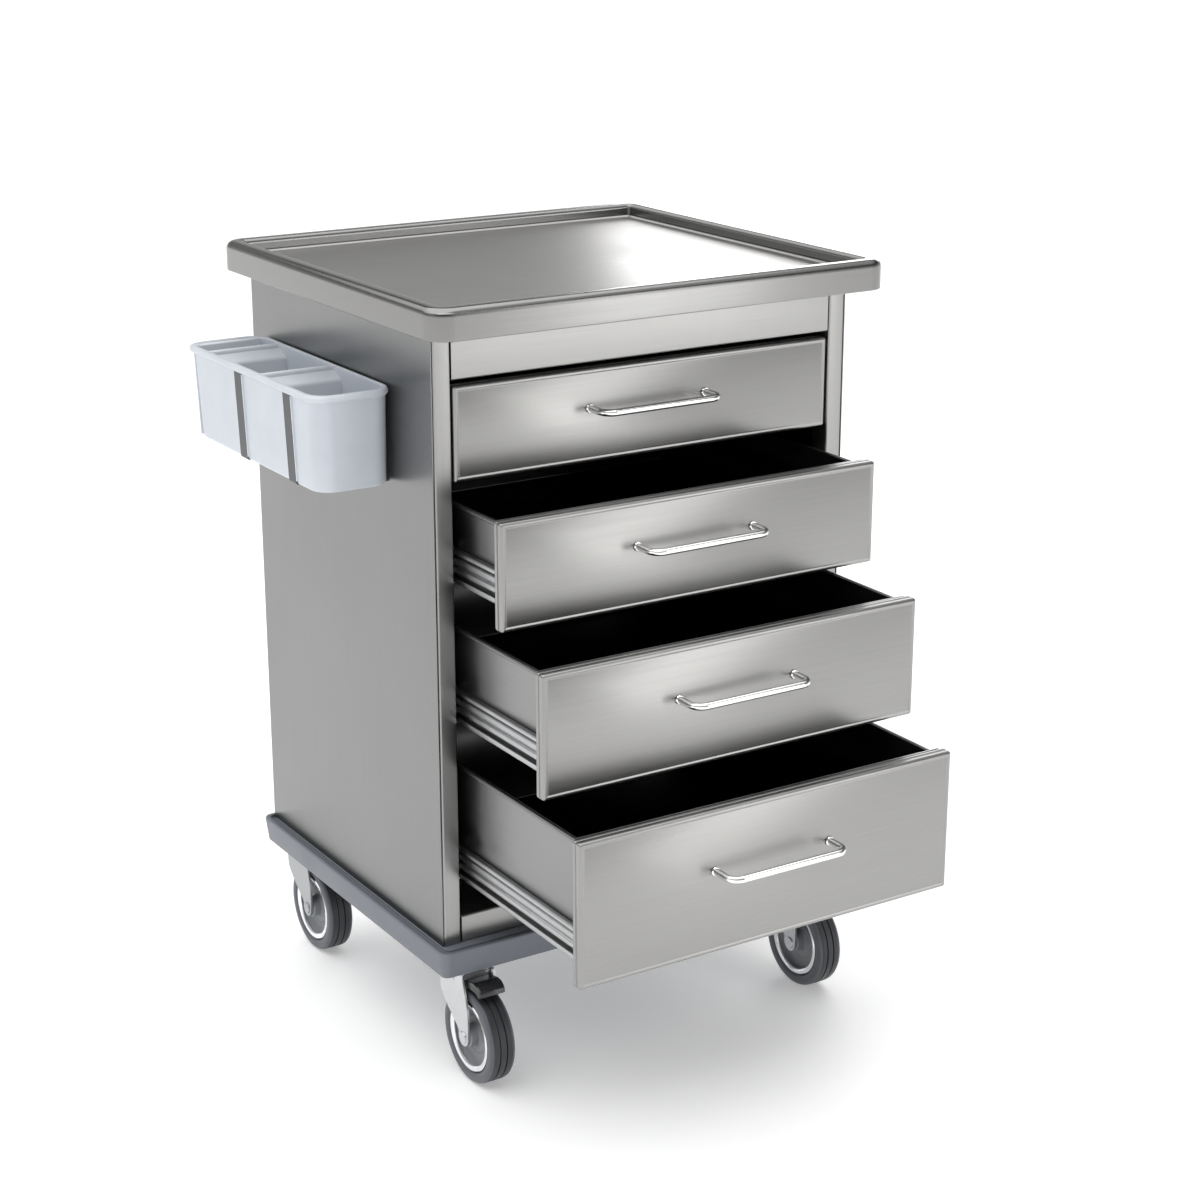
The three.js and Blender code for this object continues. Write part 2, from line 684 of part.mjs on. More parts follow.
/** Rubber ring with round shoulders, about the X axis. */
function wheelTyre() {
  const seat = RIM_RADIUS + GAP;
  const half = [
    [circumscribed(TYRE_RADIUS), TREAD_HALF_WIDTH],
    [circumscribed(TYRE_RADIUS - SHOULDER_DROP), TYRE_HALF_WIDTH - SHOULDER_INSET],
    [circumscribed(TYRE_RADIUS - SIDEWALL_TOP), TYRE_HALF_WIDTH],
    [seat + SIDEWALL_FOOT, TYRE_HALF_WIDTH - SEAT_CHAMFER],
    [seat, RIM_HALF_WIDTH + BITE],
  ];
  const other = half.map(([radius, x]) => [radius, -x]).reverse();
  return turned([...other, ...half], WHEEL_SIDES);
}

/** Foot lever over the tyre, pivoting on the fork's pin: a flat shank and a hooked toe. */
function brakePedal() {
  const upper = [[0, 140], [-34, 140.4], [-48, 143.5], [-58, 142.5], [-65, 137], [-67, 130]];
  const lower = [[-63, 128.5], [-60, 134], [-53, 137], [-44, 135.5], [-36, 131], [-28, 129], [0, 129]];
  return carve(
    [prismX([...upper, ...lower], -PEDAL_HALF_WIDTH, PEDAL_HALF_WIDTH)],
    [rod(PIN_RADIUS + GAP, [-PEDAL_HALF_WIDTH - CUT, PEDAL_HALF_WIDTH + CUT], PEDAL_PIVOT)],
  );
}

for (const [end, endSign] of [['front', -1], ['rear', 1]]) {
  for (const [name, side] of SIDES) {
    const corner = `${end}_${name}`;
    const hasPedal = end === 'front';
    const caster = new THREE.Group();
    caster.position.set(side * SWIVEL_X, endSign * SWIVEL_Y, 0);
    cart.add(caster);
    const wheel = new THREE.Group();
    wheel.position.set(0, -TRAIL, TYRE_RADIUS);
    caster.add(wheel);
    addPart(`caster_plate_${corner}`, 'zinc', casterPlate(), caster);
    addPart(`caster_fork_${corner}`, 'zinc', casterFork(hasPedal), caster);
    addPart(`wheel_hub_${corner}`, 'hub', wheelHub(), wheel);
    addPart(`tyre_${corner}`, 'tyre', wheelTyre(), wheel);
    if (hasPedal) {
      addPart(`brake_pedal_${corner}`, 'black', brakePedal(), caster);
    }
  }
}

// ---------------------------------------------------------------- side bin

const BIN_FRONT = BIN_BACK - BIN_LENGTH;
const BIN_BOTTOM = BIN_TOP - BIN_HEIGHT;

/** A level of a tapered tub: an outline whose sides move in as the height drops. */
function tubLevel([x0, x1], [y0, y1], radius, z) {
  const inset = BIN_TAPER * (BIN_TOP - z) / BIN_HEIGHT;
  return [roundedLoop([x0 + inset, x1], [y0 + inset, y1 - inset], radius), z];
}

function tub(xs, ys, radius, bottom, top) {
  return loft([tubLevel(xs, ys, radius, top), tubLevel(xs, ys, radius, bottom)]);
}

function strapSpan(place) {
  const middle = BIN_BACK - place * BIN_LENGTH;
  return [middle - STRAP_WIDTH / 2, middle + STRAP_WIDTH / 2];
}

/** An outline in (x, z) that runs under the tub and up its leaning outer wall. */
function strapOutline(thickness, offset) {
  const outerAt = (z) => BIN_OUTER + BIN_RIM + BIN_TAPER * (BIN_TOP - z) / BIN_HEIGHT;
  const bottom = BIN_BOTTOM + offset;
  const top = BIN_TOP - BIN_RIM_HEIGHT - GAP;
  return [
    [outerAt(top) + offset, top],
    [outerAt(bottom) + offset, bottom],
    [-BODY_HALF - SHEET, bottom],
    [-BODY_HALF - SHEET, bottom - thickness],
    [outerAt(bottom) + offset - thickness, bottom - thickness],
    [outerAt(top) + offset - thickness, top],
  ];
}

/** Tub with a rolled rim, three compartments and grooves for the bracket's straps. */
function sideBin() {
  const xs = [BIN_OUTER + BIN_RIM, BIN_INNER];
  const ys = [BIN_FRONT + BIN_RIM, BIN_BACK - BIN_RIM];
  const body = tub(xs, ys, BIN_CORNER, BIN_BOTTOM, BIN_TOP);
  const rim = prism(
    roundedLoop([BIN_OUTER, BIN_INNER], [BIN_FRONT, BIN_BACK], BIN_CORNER + BIN_RIM),
    BIN_TOP - BIN_RIM_HEIGHT,
    BIN_TOP,
  );
  const insideX = [xs[0] + BIN_WALL, xs[1] - BIN_WALL];
  const [rearRidge, frontRidge] = RIDGE_PLACES.map((place) => BIN_BACK - place);
  const half = RIDGE_WIDTH / 2;
  const compartments = [
    [rearRidge + half, BIN_BACK - BIN_REAR_WALL - BIN_RIM, BIN_INNER_CORNER],
    [frontRidge + half, rearRidge - half - SHOULDER_REACH, BIN_INNER_CORNER],
    [ys[0] + BIN_WALL, frontRidge - half - SHOULDER_REACH, BIN_CORNER - BIN_WALL],
  ].map(([y0, y1, radius]) => {
    const footX = [insideX[0] + BIN_TAPER, insideX[1]];
    const footY = [y0 + BIN_INNER_CORNER, y1 - BIN_INNER_CORNER];
    return loft([
      [roundedLoop(insideX, [y0, y1], radius), BIN_TOP + BITE],
      [roundedLoop(footX, footY, radius), BIN_BOTTOM + BIN_WALL],
    ]);
  });
  const hollowX = [insideX[0] + BIN_TAPER, insideX[1]];
  const shoulders = [rearRidge, frontRidge].flatMap((ridge) => {
    const start = ridge - half;
    const end = start - SHOULDER_REACH;
    const high = BIN_TOP - SHOULDER_START;
    const low = high - SHOULDER_DEPTH;
    const above = [
      [start, BIN_TOP + BITE],
      [start, high],
      [end, low],
      [end - BIN_CORNER, low],
      [end - BIN_CORNER, BIN_TOP + BITE],
    ];
    const hollowY = [end + BIN_WALL, ridge + half - BIN_WALL];
    const below = block(hollowX, hollowY, [BIN_BOTTOM - CUT, low - BIN_WALL]);
    return [prismX(above, ...insideX), below];
  });
  const depth = STRAP_SHEET + GAP;
  const grooves = STRAP_PLACES.map((place) => {
    const [y0, y1] = strapSpan(place);
    return prismY(strapOutline(CUT, depth), y0 - GAP, y1 + GAP);
  });
  return carve([body, rim], [...compartments, ...shoulders, ...grooves]);
}

/** Wall plate whose two straps run under the bin and up its outer face. */
function binBracket() {
  const plate = block(
    [-BODY_HALF - BIN_STANDOFF + GAP, -BODY_HALF - GAP],
    [BIN_FRONT + BRACKET_MARGIN, BIN_BACK - BRACKET_MARGIN],
    [BIN_BOTTOM - STRAP_SHEET, BIN_TOP - BIN_RIM_HEIGHT],
  );
  const straps = STRAP_PLACES.map((place) => {
    const [y0, y1] = strapSpan(place);
    return prismY(strapOutline(STRAP_SHEET, STRAP_SHEET), y0, y1);
  });
  return carve([plate, ...straps]);
}

addPart('bin', 'bin', sideBin());
addPart('bin_bracket', 'zinc', binBracket());

// ---------------------------------------------------------------- placing

// The origin is the middle of the cart's bounding box, on the floor.
const extent = new THREE.Box3().setFromObject(cart, true);
const centre = extent.getCenter(new THREE.Vector3());
cart.position.set(-centre.x, -centre.y, 0);

const model = new THREE.Group();
model.add(cart);

export default model;
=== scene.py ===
import math

import bmesh
import bpy
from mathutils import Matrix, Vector


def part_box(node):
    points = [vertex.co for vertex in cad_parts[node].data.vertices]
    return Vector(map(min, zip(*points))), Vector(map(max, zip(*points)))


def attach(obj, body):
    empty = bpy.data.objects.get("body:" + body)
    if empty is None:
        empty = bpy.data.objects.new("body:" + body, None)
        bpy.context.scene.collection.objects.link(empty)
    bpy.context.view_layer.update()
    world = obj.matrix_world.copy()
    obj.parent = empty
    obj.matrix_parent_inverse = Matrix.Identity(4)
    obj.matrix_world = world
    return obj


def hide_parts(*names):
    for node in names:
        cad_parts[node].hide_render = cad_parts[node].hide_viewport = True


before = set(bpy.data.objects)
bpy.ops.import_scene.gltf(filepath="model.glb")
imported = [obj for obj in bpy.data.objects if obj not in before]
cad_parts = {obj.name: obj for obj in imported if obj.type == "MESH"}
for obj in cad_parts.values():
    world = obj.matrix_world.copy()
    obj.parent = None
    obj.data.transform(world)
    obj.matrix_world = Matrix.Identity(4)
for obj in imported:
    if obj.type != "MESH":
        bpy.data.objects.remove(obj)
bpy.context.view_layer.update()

# Shapes are drawn in millimetres in the row frame and scaled once, when a piece is made.
MM = 0.001
scene = bpy.context.scene

SIDES = (("left", -1), ("right", 1))
DRAWERS = (1, 2, 3, 4)
CORNERS = [(f"{end}_{side}", end) for end in ("front", "rear") for side in ("left", "right")]

SHEET = 1.5  # steel sheet of the cabinet
HAIR = 0.4  # visible gap between touching pieces
ROUND_STEPS = 8  # points on a quarter circle


def box_of(node):
    """Lowest and highest corner of a CAD node, in millimetres."""
    low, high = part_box(node)
    return low / MM, high / MM


# ------------------------------------------------------------------ materials


class Nodes:
    """A material's node tree with short names for what every finish here needs."""

    def __init__(self, name):
        self.material = bpy.data.materials.new(name)
        self.material.use_nodes = True
        self.tree = self.material.node_tree
        self.shader = self.tree.nodes["Principled BSDF"]
        self.place = self.tree.nodes.new("ShaderNodeTexCoord").outputs["Object"]

    def link(self, output, socket):
        self.tree.links.new(output, socket)

    def feed(self, name, output):
        """Drives one of the shader's inputs."""
        self.link(output, self.shader.inputs[name])

    def noise(self, scale, detail=3.0, roughness=0.55):
        """Noise in object space; scale is per metre and may differ along the three axes."""
        mapping = self.tree.nodes.new("ShaderNodeMapping")
        mapping.inputs["Scale"].default_value = scale
        self.link(self.place, mapping.inputs["Vector"])
        texture = self.tree.nodes.new("ShaderNodeTexNoise")
        texture.inputs["Scale"].default_value = 1.0
        texture.inputs["Detail"].default_value = detail
        texture.inputs["Roughness"].default_value = roughness
        self.link(mapping.outputs["Vector"], texture.inputs["Vector"])
        return texture.outputs["Fac"]

    def spread(self, value, low, high, start=0.3, end=0.7):
        """Maps a value's range start..end to low..high."""
        node = self.tree.nodes.new("ShaderNodeMapRange")
        node.inputs["From Min"].default_value = start
        node.inputs["From Max"].default_value = end
        node.inputs["To Min"].default_value = low
        node.inputs["To Max"].default_value = high
        self.link(value, node.inputs["Value"])
        return node.outputs["Result"]

    def add(self, first, second):
        node = self.tree.nodes.new("ShaderNodeMath")
        node.operation = "ADD"
        self.link(first, node.inputs[0])
        self.link(second, node.inputs[1])
        return node.outputs["Value"]

    def blend(self, factor, first, second):
        """A colour between two colours or colour outputs."""
        node = self.tree.nodes.new("ShaderNodeMix")
        node.data_type = "RGBA"
        self.link(factor, node.inputs["Factor"])
        for socket, colour in ((node.inputs[6], first), (node.inputs[7], second)):
            if isinstance(colour, tuple):
                socket.default_value = (*colour, 1.0)
            else:
                self.link(colour, socket)
        return node.outputs[2]

    def bump(self, height, strength, distance):
        node = self.tree.nodes.new("ShaderNodeBump")
        node.inputs["Strength"].default_value = strength
        node.inputs["Distance"].default_value = distance
        self.link(height, node.inputs["Height"])
        self.feed("Normal", node.outputs["Normal"])

    def tangent(self, axis):
        node = self.tree.nodes.new("ShaderNodeTangent")
        node.direction_type = "RADIAL"
        node.axis = axis
        self.feed("Tangent", node.outputs["Tangent"])

    def edges(self, start, end):
        """Near 1 on convex edges and 0 on flats."""
        geometry = self.tree.nodes.new("ShaderNodeNewGeometry")
        return self.spread(geometry.outputs["Pointiness"], 0.0, 1.0, start, end)


def shades(colour, dark, light):
    """A darker and a lighter version of a colour."""
    return tuple(c * dark for c in colour), tuple(min(1.0, c * light) for c in colour)


def brushed(name, colour, roughness, grain, tangent, stretch=0.55):
    """Brushed sheet: fine lines along one axis, faint handling marks and a soft cloudiness."""
    nodes = Nodes(name)
    along, across, cloudy = 7.0, 1300.0, 5.0  # noise per metre
    scatter, haze = 0.012, 0.02  # how far the lines and the cloudiness move the roughness

    def lines(long, short):
        scale = [short] * 3
        scale["XYZ".index(grain)] = long
        return tuple(scale)

    fine = nodes.noise(lines(along, across), 2.0, 0.6)
    coarse = nodes.noise(lines(along / 2, across / 5), 2.0, 0.5)
    cloud = nodes.noise((cloudy,) * 3, 2.0, 0.5)
    dull, bright = shades(colour, 0.965, 1.035)
    nodes.feed("Base Color", nodes.blend(nodes.spread(fine, 0.0, 1.0), dull, bright))
    rough = nodes.add(
        nodes.spread(coarse, roughness - scatter, roughness + scatter),
        nodes.spread(cloud, -haze, haze),
    )
    nodes.feed("Roughness", rough)
    nodes.shader.inputs["Metallic"].default_value = 1.0
    nodes.shader.inputs["Anisotropic"].default_value = stretch
    nodes.tangent(tangent)
    nodes.bump(fine, 0.05, 0.0002)
    return nodes.material


def bright_metal(name, colour, roughness, smear=0.02):
    """Polished or plated steel with faint smears."""
    nodes = Nodes(name)
    smears = nodes.noise((60.0,) * 3, 4.0, 0.6)
    fine = nodes.noise((900.0,) * 3, 2.0, 0.5)
    dull, light = shades(colour, 0.95, 1.04)
    nodes.feed("Base Color", nodes.blend(nodes.spread(smears, 0.0, 1.0), dull, light))
    nodes.feed("Roughness", nodes.spread(smears, roughness - smear, roughness + smear))
    nodes.shader.inputs["Metallic"].default_value = 1.0
    nodes.bump(fine, 0.05, 0.0001)
    return nodes.material


def moulded(name, colour, roughness, edge_highlight_colour, texture=900.0, depth=0.15, coat=0.0):
    """Moulded plastic: fine pitted texture, soft mottling and a painted highlight on convex edges.
    """
    nodes = Nodes(name)
    pits = nodes.noise((texture,) * 3, 2.0, 0.5)
    mottle = nodes.noise((14.0,) * 3, 3.0, 0.5)
    swing = 0.05
    dark, light = shades(colour, 1 - swing, 1 + swing)
    body = nodes.blend(nodes.spread(mottle, 0.0, 1.0), dark, light)
    # painted highlight: convex edges are blended towards a lighter colour
    edge_highlight = nodes.blend(nodes.edges(0.51, 0.6), body, edge_highlight_colour)
    nodes.feed("Base Color", edge_highlight)
    nodes.feed("Roughness", nodes.spread(mottle, roughness - swing, roughness + swing))
    nodes.shader.inputs["Coat Weight"].default_value = coat
    nodes.shader.inputs["Coat Roughness"].default_value = 0.08
    nodes.bump(pits, depth, 0.0002)
    return nodes.material


STEEL = (0.33, 0.327, 0.32)
steel_across = brushed("steel_grain_across", STEEL, 0.30, "X", "X")
steel_upright = brushed("steel_grain_upright", STEEL, 0.32, "Z", "Z")
# painted shade: the side skins take a darker copy of the upright steel
steel_side_painted_shade = brushed("steel_grain_side_painted_shade", (0.24, 0.24, 0.24), 0.32, "Z", "Z")
steel_plate = brushed("steel_grain_plate", STEEL, 0.30, "X", "Y", 0.4)
steel_flat = brushed("steel_grain_flat", STEEL, 0.30, "X", "Z", 0.3)
steel_tray = brushed("steel_grain_tray", (0.265, 0.263, 0.258), 0.21, "X", "Z", 0.2)
steel_box = brushed("steel_grain_box", (0.27, 0.27, 0.272), 0.34, "Y", "X", 0.4)
polished = bright_metal("polished_steel", (0.96, 0.96, 0.95), 0.17)
zinc = bright_metal("zinc_steel", (0.62, 0.63, 0.64), 0.36, 0.05)
# painted shade: a darker copy of the zinc, given to the rear forks
zinc_painted_shade = bright_metal("zinc_painted_shade", (0.40, 0.41, 0.42), 0.4, 0.05)
slide_steel = bright_metal("slide_steel", (0.44, 0.445, 0.45), 0.34, 0.01)
strap_metal = bright_metal("strap_metal", (0.11, 0.113, 0.118), 0.42, 0.02)
bright_ring = bright_metal("bright_ring", (0.84, 0.85, 0.86), 0.2, 0.04)
# the colour after each roughness is that plastic's lighter edge colour, a painted highlight
deck_plastic = moulded("deck_plastic", (0.115, 0.126, 0.148), 0.42, (0.30, 0.32, 0.36))
bin_plastic = moulded(
    "bin_plastic", (0.57, 0.61, 0.665), 0.40, (0.74, 0.77, 0.81), 600.0, 0.06, 0.1,
)
tyre_rubber = moulded("tyre_rubber", (0.085, 0.092, 0.105), 0.42, (0.16, 0.17, 0.19), 700.0, 0.15)
# painted shade: the tread band takes a much darker copy of the tyre rubber
tread_rubber_painted_shade = moulded(
    "tread_rubber_painted_shade", (0.022, 0.024, 0.028), 0.45, (0.05, 0.053, 0.06), 700.0, 0.2,
)
hub_plastic = moulded("hub_plastic", (0.24, 0.25, 0.265), 0.42, (0.42, 0.43, 0.45))
black_plastic = moulded(
    "black_plastic", (0.008, 0.008, 0.009), 0.24, (0.03, 0.03, 0.033), 500.0, 0.03, 0.2,
)
liner_black = moulded("liner_black", (0.004, 0.004, 0.004), 0.22, (0.01, 0.01, 0.01), 400.0, 0.03)


# ------------------------------------------------------------------ mesh helpers


def arc(centre, radius, start, end, steps=ROUND_STEPS):
    """Points on an arc, from start to end degrees."""
    angles = [math.radians(start + (end - start) * i / steps) for i in range(steps + 1)]
    return [(centre[0] + radius * math.cos(a), centre[1] + radius * math.sin(a)) for a in angles]


def rounded_loop(u, v, radius, steps=ROUND_STEPS):
    """Outline of a rectangle with round corners, counter-clockwise."""
    centres = (
        (u[1] - radius, v[1] - radius),
        (u[0] + radius, v[1] - radius),
        (u[0] + radius, v[0] + radius),
        (u[1] - radius, v[0] + radius),
    )
    loop = []
    for quarter, centre in enumerate(centres):
        loop += arc(centre, radius, 90 * quarter, 90 * quarter + 90, steps)
    return loop


def circle(radius, sides, phase=0.0):
    angles = [math.tau * (i + phase) / sides for i in range(sides)]
    return [(radius * math.cos(a), radius * math.sin(a)) for a in angles]


def placed(points, axis, level):
    """2-D points at a level along an axis: X takes (y, z), Y takes (x, z), Z takes (x, y)."""
    if axis == "X":
        return [(level, u, v) for u, v in points]
    if axis == "Y":
        return [(u, level, v) for u, v in points]
    return [(u, v, level) for u, v in points]


def skin(rings, closed=False):
    """Joins rings of equally many points with quads, and caps the ends or closes the row."""
    size = len(rings[0])
    verts = [point for ring in rings for point in ring]
    faces = []
    count = len(rings) if closed else len(rings) - 1
    for i in range(count):
        a, b = i * size, ((i + 1) % len(rings)) * size
        faces += [(a + j, a + (j + 1) % size, b + (j + 1) % size, b + j) for j in range(size)]
    if not closed:
        faces.append(tuple(range(size)))
        faces.append(tuple(range((len(rings) - 1) * size, len(rings) * size)))
    return verts, faces


def prism(outline, axis, start, end):
    return skin([placed(outline, axis, start), placed(outline, axis, end)])


def turned(profile, centre, axis="X", sides=64, closed=True):
    """A solid of revolution from (radius, along) points, round an axis through centre."""
    rings = []
    for radius, along in profile:
        ring = placed(circle(radius, sides), axis, along)
        rings.append([tuple(Vector(p) + Vector(centre)) for p in ring])
    return skin(rings, closed)


def fillet(points, radius, steps=4):
    """A polyline whose inner corners are rounded."""
    result = [points[0]]
    for before, corner, after in zip(points, points[1:], points[2:]):
        p, q, r = Vector(before), Vector(corner), Vector(after)
        back, forth = (p - q), (r - q)
        angle = back.angle(forth)
        reach = min(radius / math.tan(angle / 2), back.length * 0.49, forth.length * 0.49)
        start, end = q + back.normalized() * reach, q + forth.normalized() * reach
        for i in range(steps + 1):
            t = i / steps
            result.append(tuple(start * (1 - t) ** 2 + q * 2 * t * (1 - t) + end * t**2))
    result.append(points[-1])
    return result


def ribbon(points, thickness, radius=2.0, steps=4):
    """Outline of a bent sheet: a filleted centre line given thickness on both sides."""
    line = [Vector(p) for p in fillet(points, radius, steps)]
    left, right = [], []
    for i, point in enumerate(line):
        ahead = line[min(i + 1, len(line) - 1)] - line[max(i - 1, 0)]
        normal = Vector((-ahead.y, ahead.x)).normalized() * (thickness / 2)
        left.append(tuple(point + normal))
        right.append(tuple(point - normal))
    return left + right[::-1]


def slab(x, y, z, radius=1.0, axis="Z", steps=3):
    """A plate whose outline in the plane across axis has round corners."""
    spans = {"X": (y, z, x), "Y": (x, z, y), "Z": (x, y, z)}[axis]
    return prism(rounded_loop(spans[0], spans[1], radius, steps), axis, *spans[2])


def screw(centre, axis, sign, radius):
    """A pan head with a cross-shaped recess hinted by a stepped crown."""
    profile = [(0.01, 0.0), (radius, 0.0), (radius, 0.5 * sign)]
    profile += [(radius * math.cos(a), sign * (0.5 + 1.3 * math.sin(a))) for a in (0.4, 0.8, 1.1)]
    profile += [(radius * 0.36, 1.75 * sign), (radius * 0.3, 0.9 * sign), (0.01, 0.9 * sign)]
    return turned(profile, centre, axis, 20, closed=False)


def piece(name, shapes, material, body, replaces=(), bevel=0.0, segments=2, sharp=38):
    """Makes one object from several closed shapes and hangs it on its body."""
    mesh = bpy.data.meshes.new(name)
    verts, faces = [], []
    for more, new_faces in shapes:
        base = len(verts)
        verts += [tuple(c * MM for c in v) for v in more]
        faces += [tuple(base + i for i in face) for face in new_faces]
    mesh.from_pydata(verts, [], faces)
    bm = bmesh.new()
    bm.from_mesh(mesh)
    bmesh.ops.remove_doubles(bm, verts=bm.verts, dist=0.00002)
    bmesh.ops.recalc_face_normals(bm, faces=bm.faces)
    bm.to_mesh(mesh)
    bm.free()
    mesh.materials.append(material)
    mesh.shade_smooth()
    mesh.set_sharp_from_angle(angle=math.radians(sharp))
    made = bpy.data.objects.new(name, mesh)
    scene.collection.objects.link(made)
    if bevel:
        modifier = made.modifiers.new("edge", "BEVEL")
        modifier.width = bevel * MM
        modifier.segments = segments
        modifier.limit_method = "ANGLE"
        modifier.angle_limit = math.radians(sharp)
        modifier.harden_normals = True
    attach(made, body)
    if replaces:
        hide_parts(*replaces)
    return made


def refinish(node, material):
    """A CAD node that stays gets its material here."""
    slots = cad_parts[node].data.materials
    slots.clear()
    slots.append(material)


# ------------------------------------------------------------------ cabinet

body_low, body_high = box_of("top_panel")
BODY_MIDDLE = (body_low + body_high) / 2
FRONT = body_low.y
BACK = body_high.y
BODY_BASE = box_of("side_panel_left")[0].z
BODY_TOP = box_of("side_panel_left")[1].z


def across(side, distance):
    """X of a point at a distance from the cabinet's middle plane."""
    return BODY_MIDDLE.x + side * distance


BODY_HALF = (body_high.x - body_low.x) / 2
OPENING_HALF = BODY_HALF - (box_of("front_post_left")[1].x - body_low.x)
UPRIGHT = 40.0  # depth of the rear uprights
CORNER_ROUND = 2.6
BEND = 2.2  # bend radius of the cross rails and the back panel


def side_panel(name, side):
    """Outer skin with a folded rear upright, open to the inside."""
    mid = SHEET / 2
    line = [
        (across(side, BODY_HALF - mid), FRONT + mid),
        (across(side, BODY_HALF - mid), BACK - mid),
        (across(side, OPENING_HALF + mid), BACK - mid),
        (across(side, OPENING_HALF + mid), BACK - UPRIGHT),
    ]
    outline = ribbon(line, SHEET, CORNER_ROUND)
    node = f"side_panel_{name}"
    # the skin takes the darker steel copy, which is painted shade
    piece(
        f"side_skin_{name}",
        [prism(outline, "Z", BODY_BASE, BODY_TOP)],
        steel_side_painted_shade, "cabinet", [node], 0.5,
    )


def front_post(name):
    """Square tube with round edges, a hair narrower than the space beside the side skin."""
    low, high = box_of(f"front_post_{name}")
    outer = rounded_loop((low.x + HAIR, high.x - HAIR), (low.y, high.y), CORNER_ROUND, 5)
    bore = rounded_loop(
        (low.x + HAIR + SHEET, high.x - HAIR - SHEET),
        (low.y + SHEET, high.y - SHEET),
        CORNER_ROUND - SHEET + 0.3, 5,
    )
    rings = [placed(loop, "Z", z) for loop, z in (
        (outer, low.z), (outer, high.z), (bore, high.z), (bore, low.z),
    )]
    piece(
        f"corner_post_{name}", [skin(rings, closed=True)],
        steel_upright, "cabinet", [f"front_post_{name}"], 0.3,
    )


def cross_rail(node):
    """Channel between the posts with its two bends rolled, a hair clear of the posts."""
    low, high = box_of(node)
    mid, setback, end_gap = SHEET / 2, 0.6, 0.9
    front, under, over = low.y + mid + setback, low.z + mid, high.z - mid
    line = [(high.y, under), (front, under), (front, over), (high.y, over)]
    outline = ribbon(line, SHEET, BEND)
    piece(
        f"{node}_channel", [prism(outline, "X", low.x + end_gap, high.x - end_gap)],
        steel_across, "cabinet", [node], 0.35,
    )


def back_panel():
    low, high = box_of("back_panel")
    mid = SHEET / 2
    left, right = low.x + mid, high.x - mid
    line = [(left, low.y), (left, high.y - mid), (right, high.y - mid), (right, low.y)]
    panel = prism(ribbon(line, SHEET, BEND), "Z", low.z, high.z)
    piece("rear_sheet", [panel], steel_upright, "cabinet", ["back_panel"], 0.4)
    heads = []
    inset, margin, rows, head_radius = 9.0, 40.0, 5, 3.4
    for side in (low.x + inset, high.x - inset):
        for row in range(rows):
            z = low.z + margin + (high.z - low.z - 2 * margin) * row / (rows - 1)
            heads.append(screw((side, high.y, z), "Y", 1, head_radius))
    piece("rear_screws", heads, zinc, "cabinet")


for side_name, side_sign in SIDES:
    side_panel(side_name, side_sign)
    front_post(side_name)
for rail in ("fascia", "lower_rail"):
    cross_rail(rail)
back_panel()
refinish("bottom_panel", steel_flat)
refinish("top_panel", steel_flat)


# ------------------------------------------------------------------ worktop


def loop_at(low, high, inset, corner, least, z):
    """A level of a rounded frame: the outline moved in, its corner radius shrinking with it."""
    x, y = (low.x + inset, high.x - inset), (low.y + inset, high.y - inset)
    return placed(rounded_loop(x, y, max(corner - inset, least)), "Z", z)


def worktop_tray():
    """Pressed tray: hemmed skirt, rolled rim, inner wall and sunk base, one sheet throughout."""
    low, high = box_of("worktop_tray")
    corner, rim, recess = 28.0, 24.0, 18.3
    roll, shoulder, foot = 10.0, 6.5, 3.0  # radii of the outer roll, the inner roll and the foot
    base = high.z - recess

    def path(depth):
        points = [(depth, low.z + SHEET)]
        points += arc((roll, high.z - roll), roll - depth, 180, 90)
        points += arc((rim - shoulder, high.z - shoulder), shoulder - depth, 90, 0)
        points += arc((rim + foot, base + foot), foot + depth, 180, 270)
        return points

    hem = arc((SHEET / 2, low.z + SHEET / 2), SHEET / 2, 0, -180, 4)
    profile = path(SHEET)[::-1] + hem + path(0.0)
    rings = [loop_at(low, high, inset, corner, 4.0, z) for inset, z in profile]
    piece(
        "tray_pressing", [skin(rings)], steel_tray, "cabinet",
        ["worktop_tray"], sharp=50,
    )


def worktop_plate():
    """Loose plate in the tray, its edge turned up into a low bead."""
    low, high = box_of("worktop_floor")
    bead, top = 3.2, high.z
    profile = [(6.0, low.z), (1.4, low.z)]
    profile += arc((1.4, low.z + 1.4), 1.4, 270, 180, 4)
    profile += arc((1.5, top + 0.6), 1.5, 180, 60, 6)
    profile += arc((bead + 2.4, top + 1.2), 1.2, 215, 270, 4)
    rings = [loop_at(low, high, inset, 7.0, 3.0, z) for inset, z in profile]
    piece(
        "worktop_plate", [skin(rings)], steel_plate, "cabinet",
        ["worktop_floor"], sharp=50,
    )


worktop_tray()
worktop_plate()


# ------------------------------------------------------------------ bumper deck


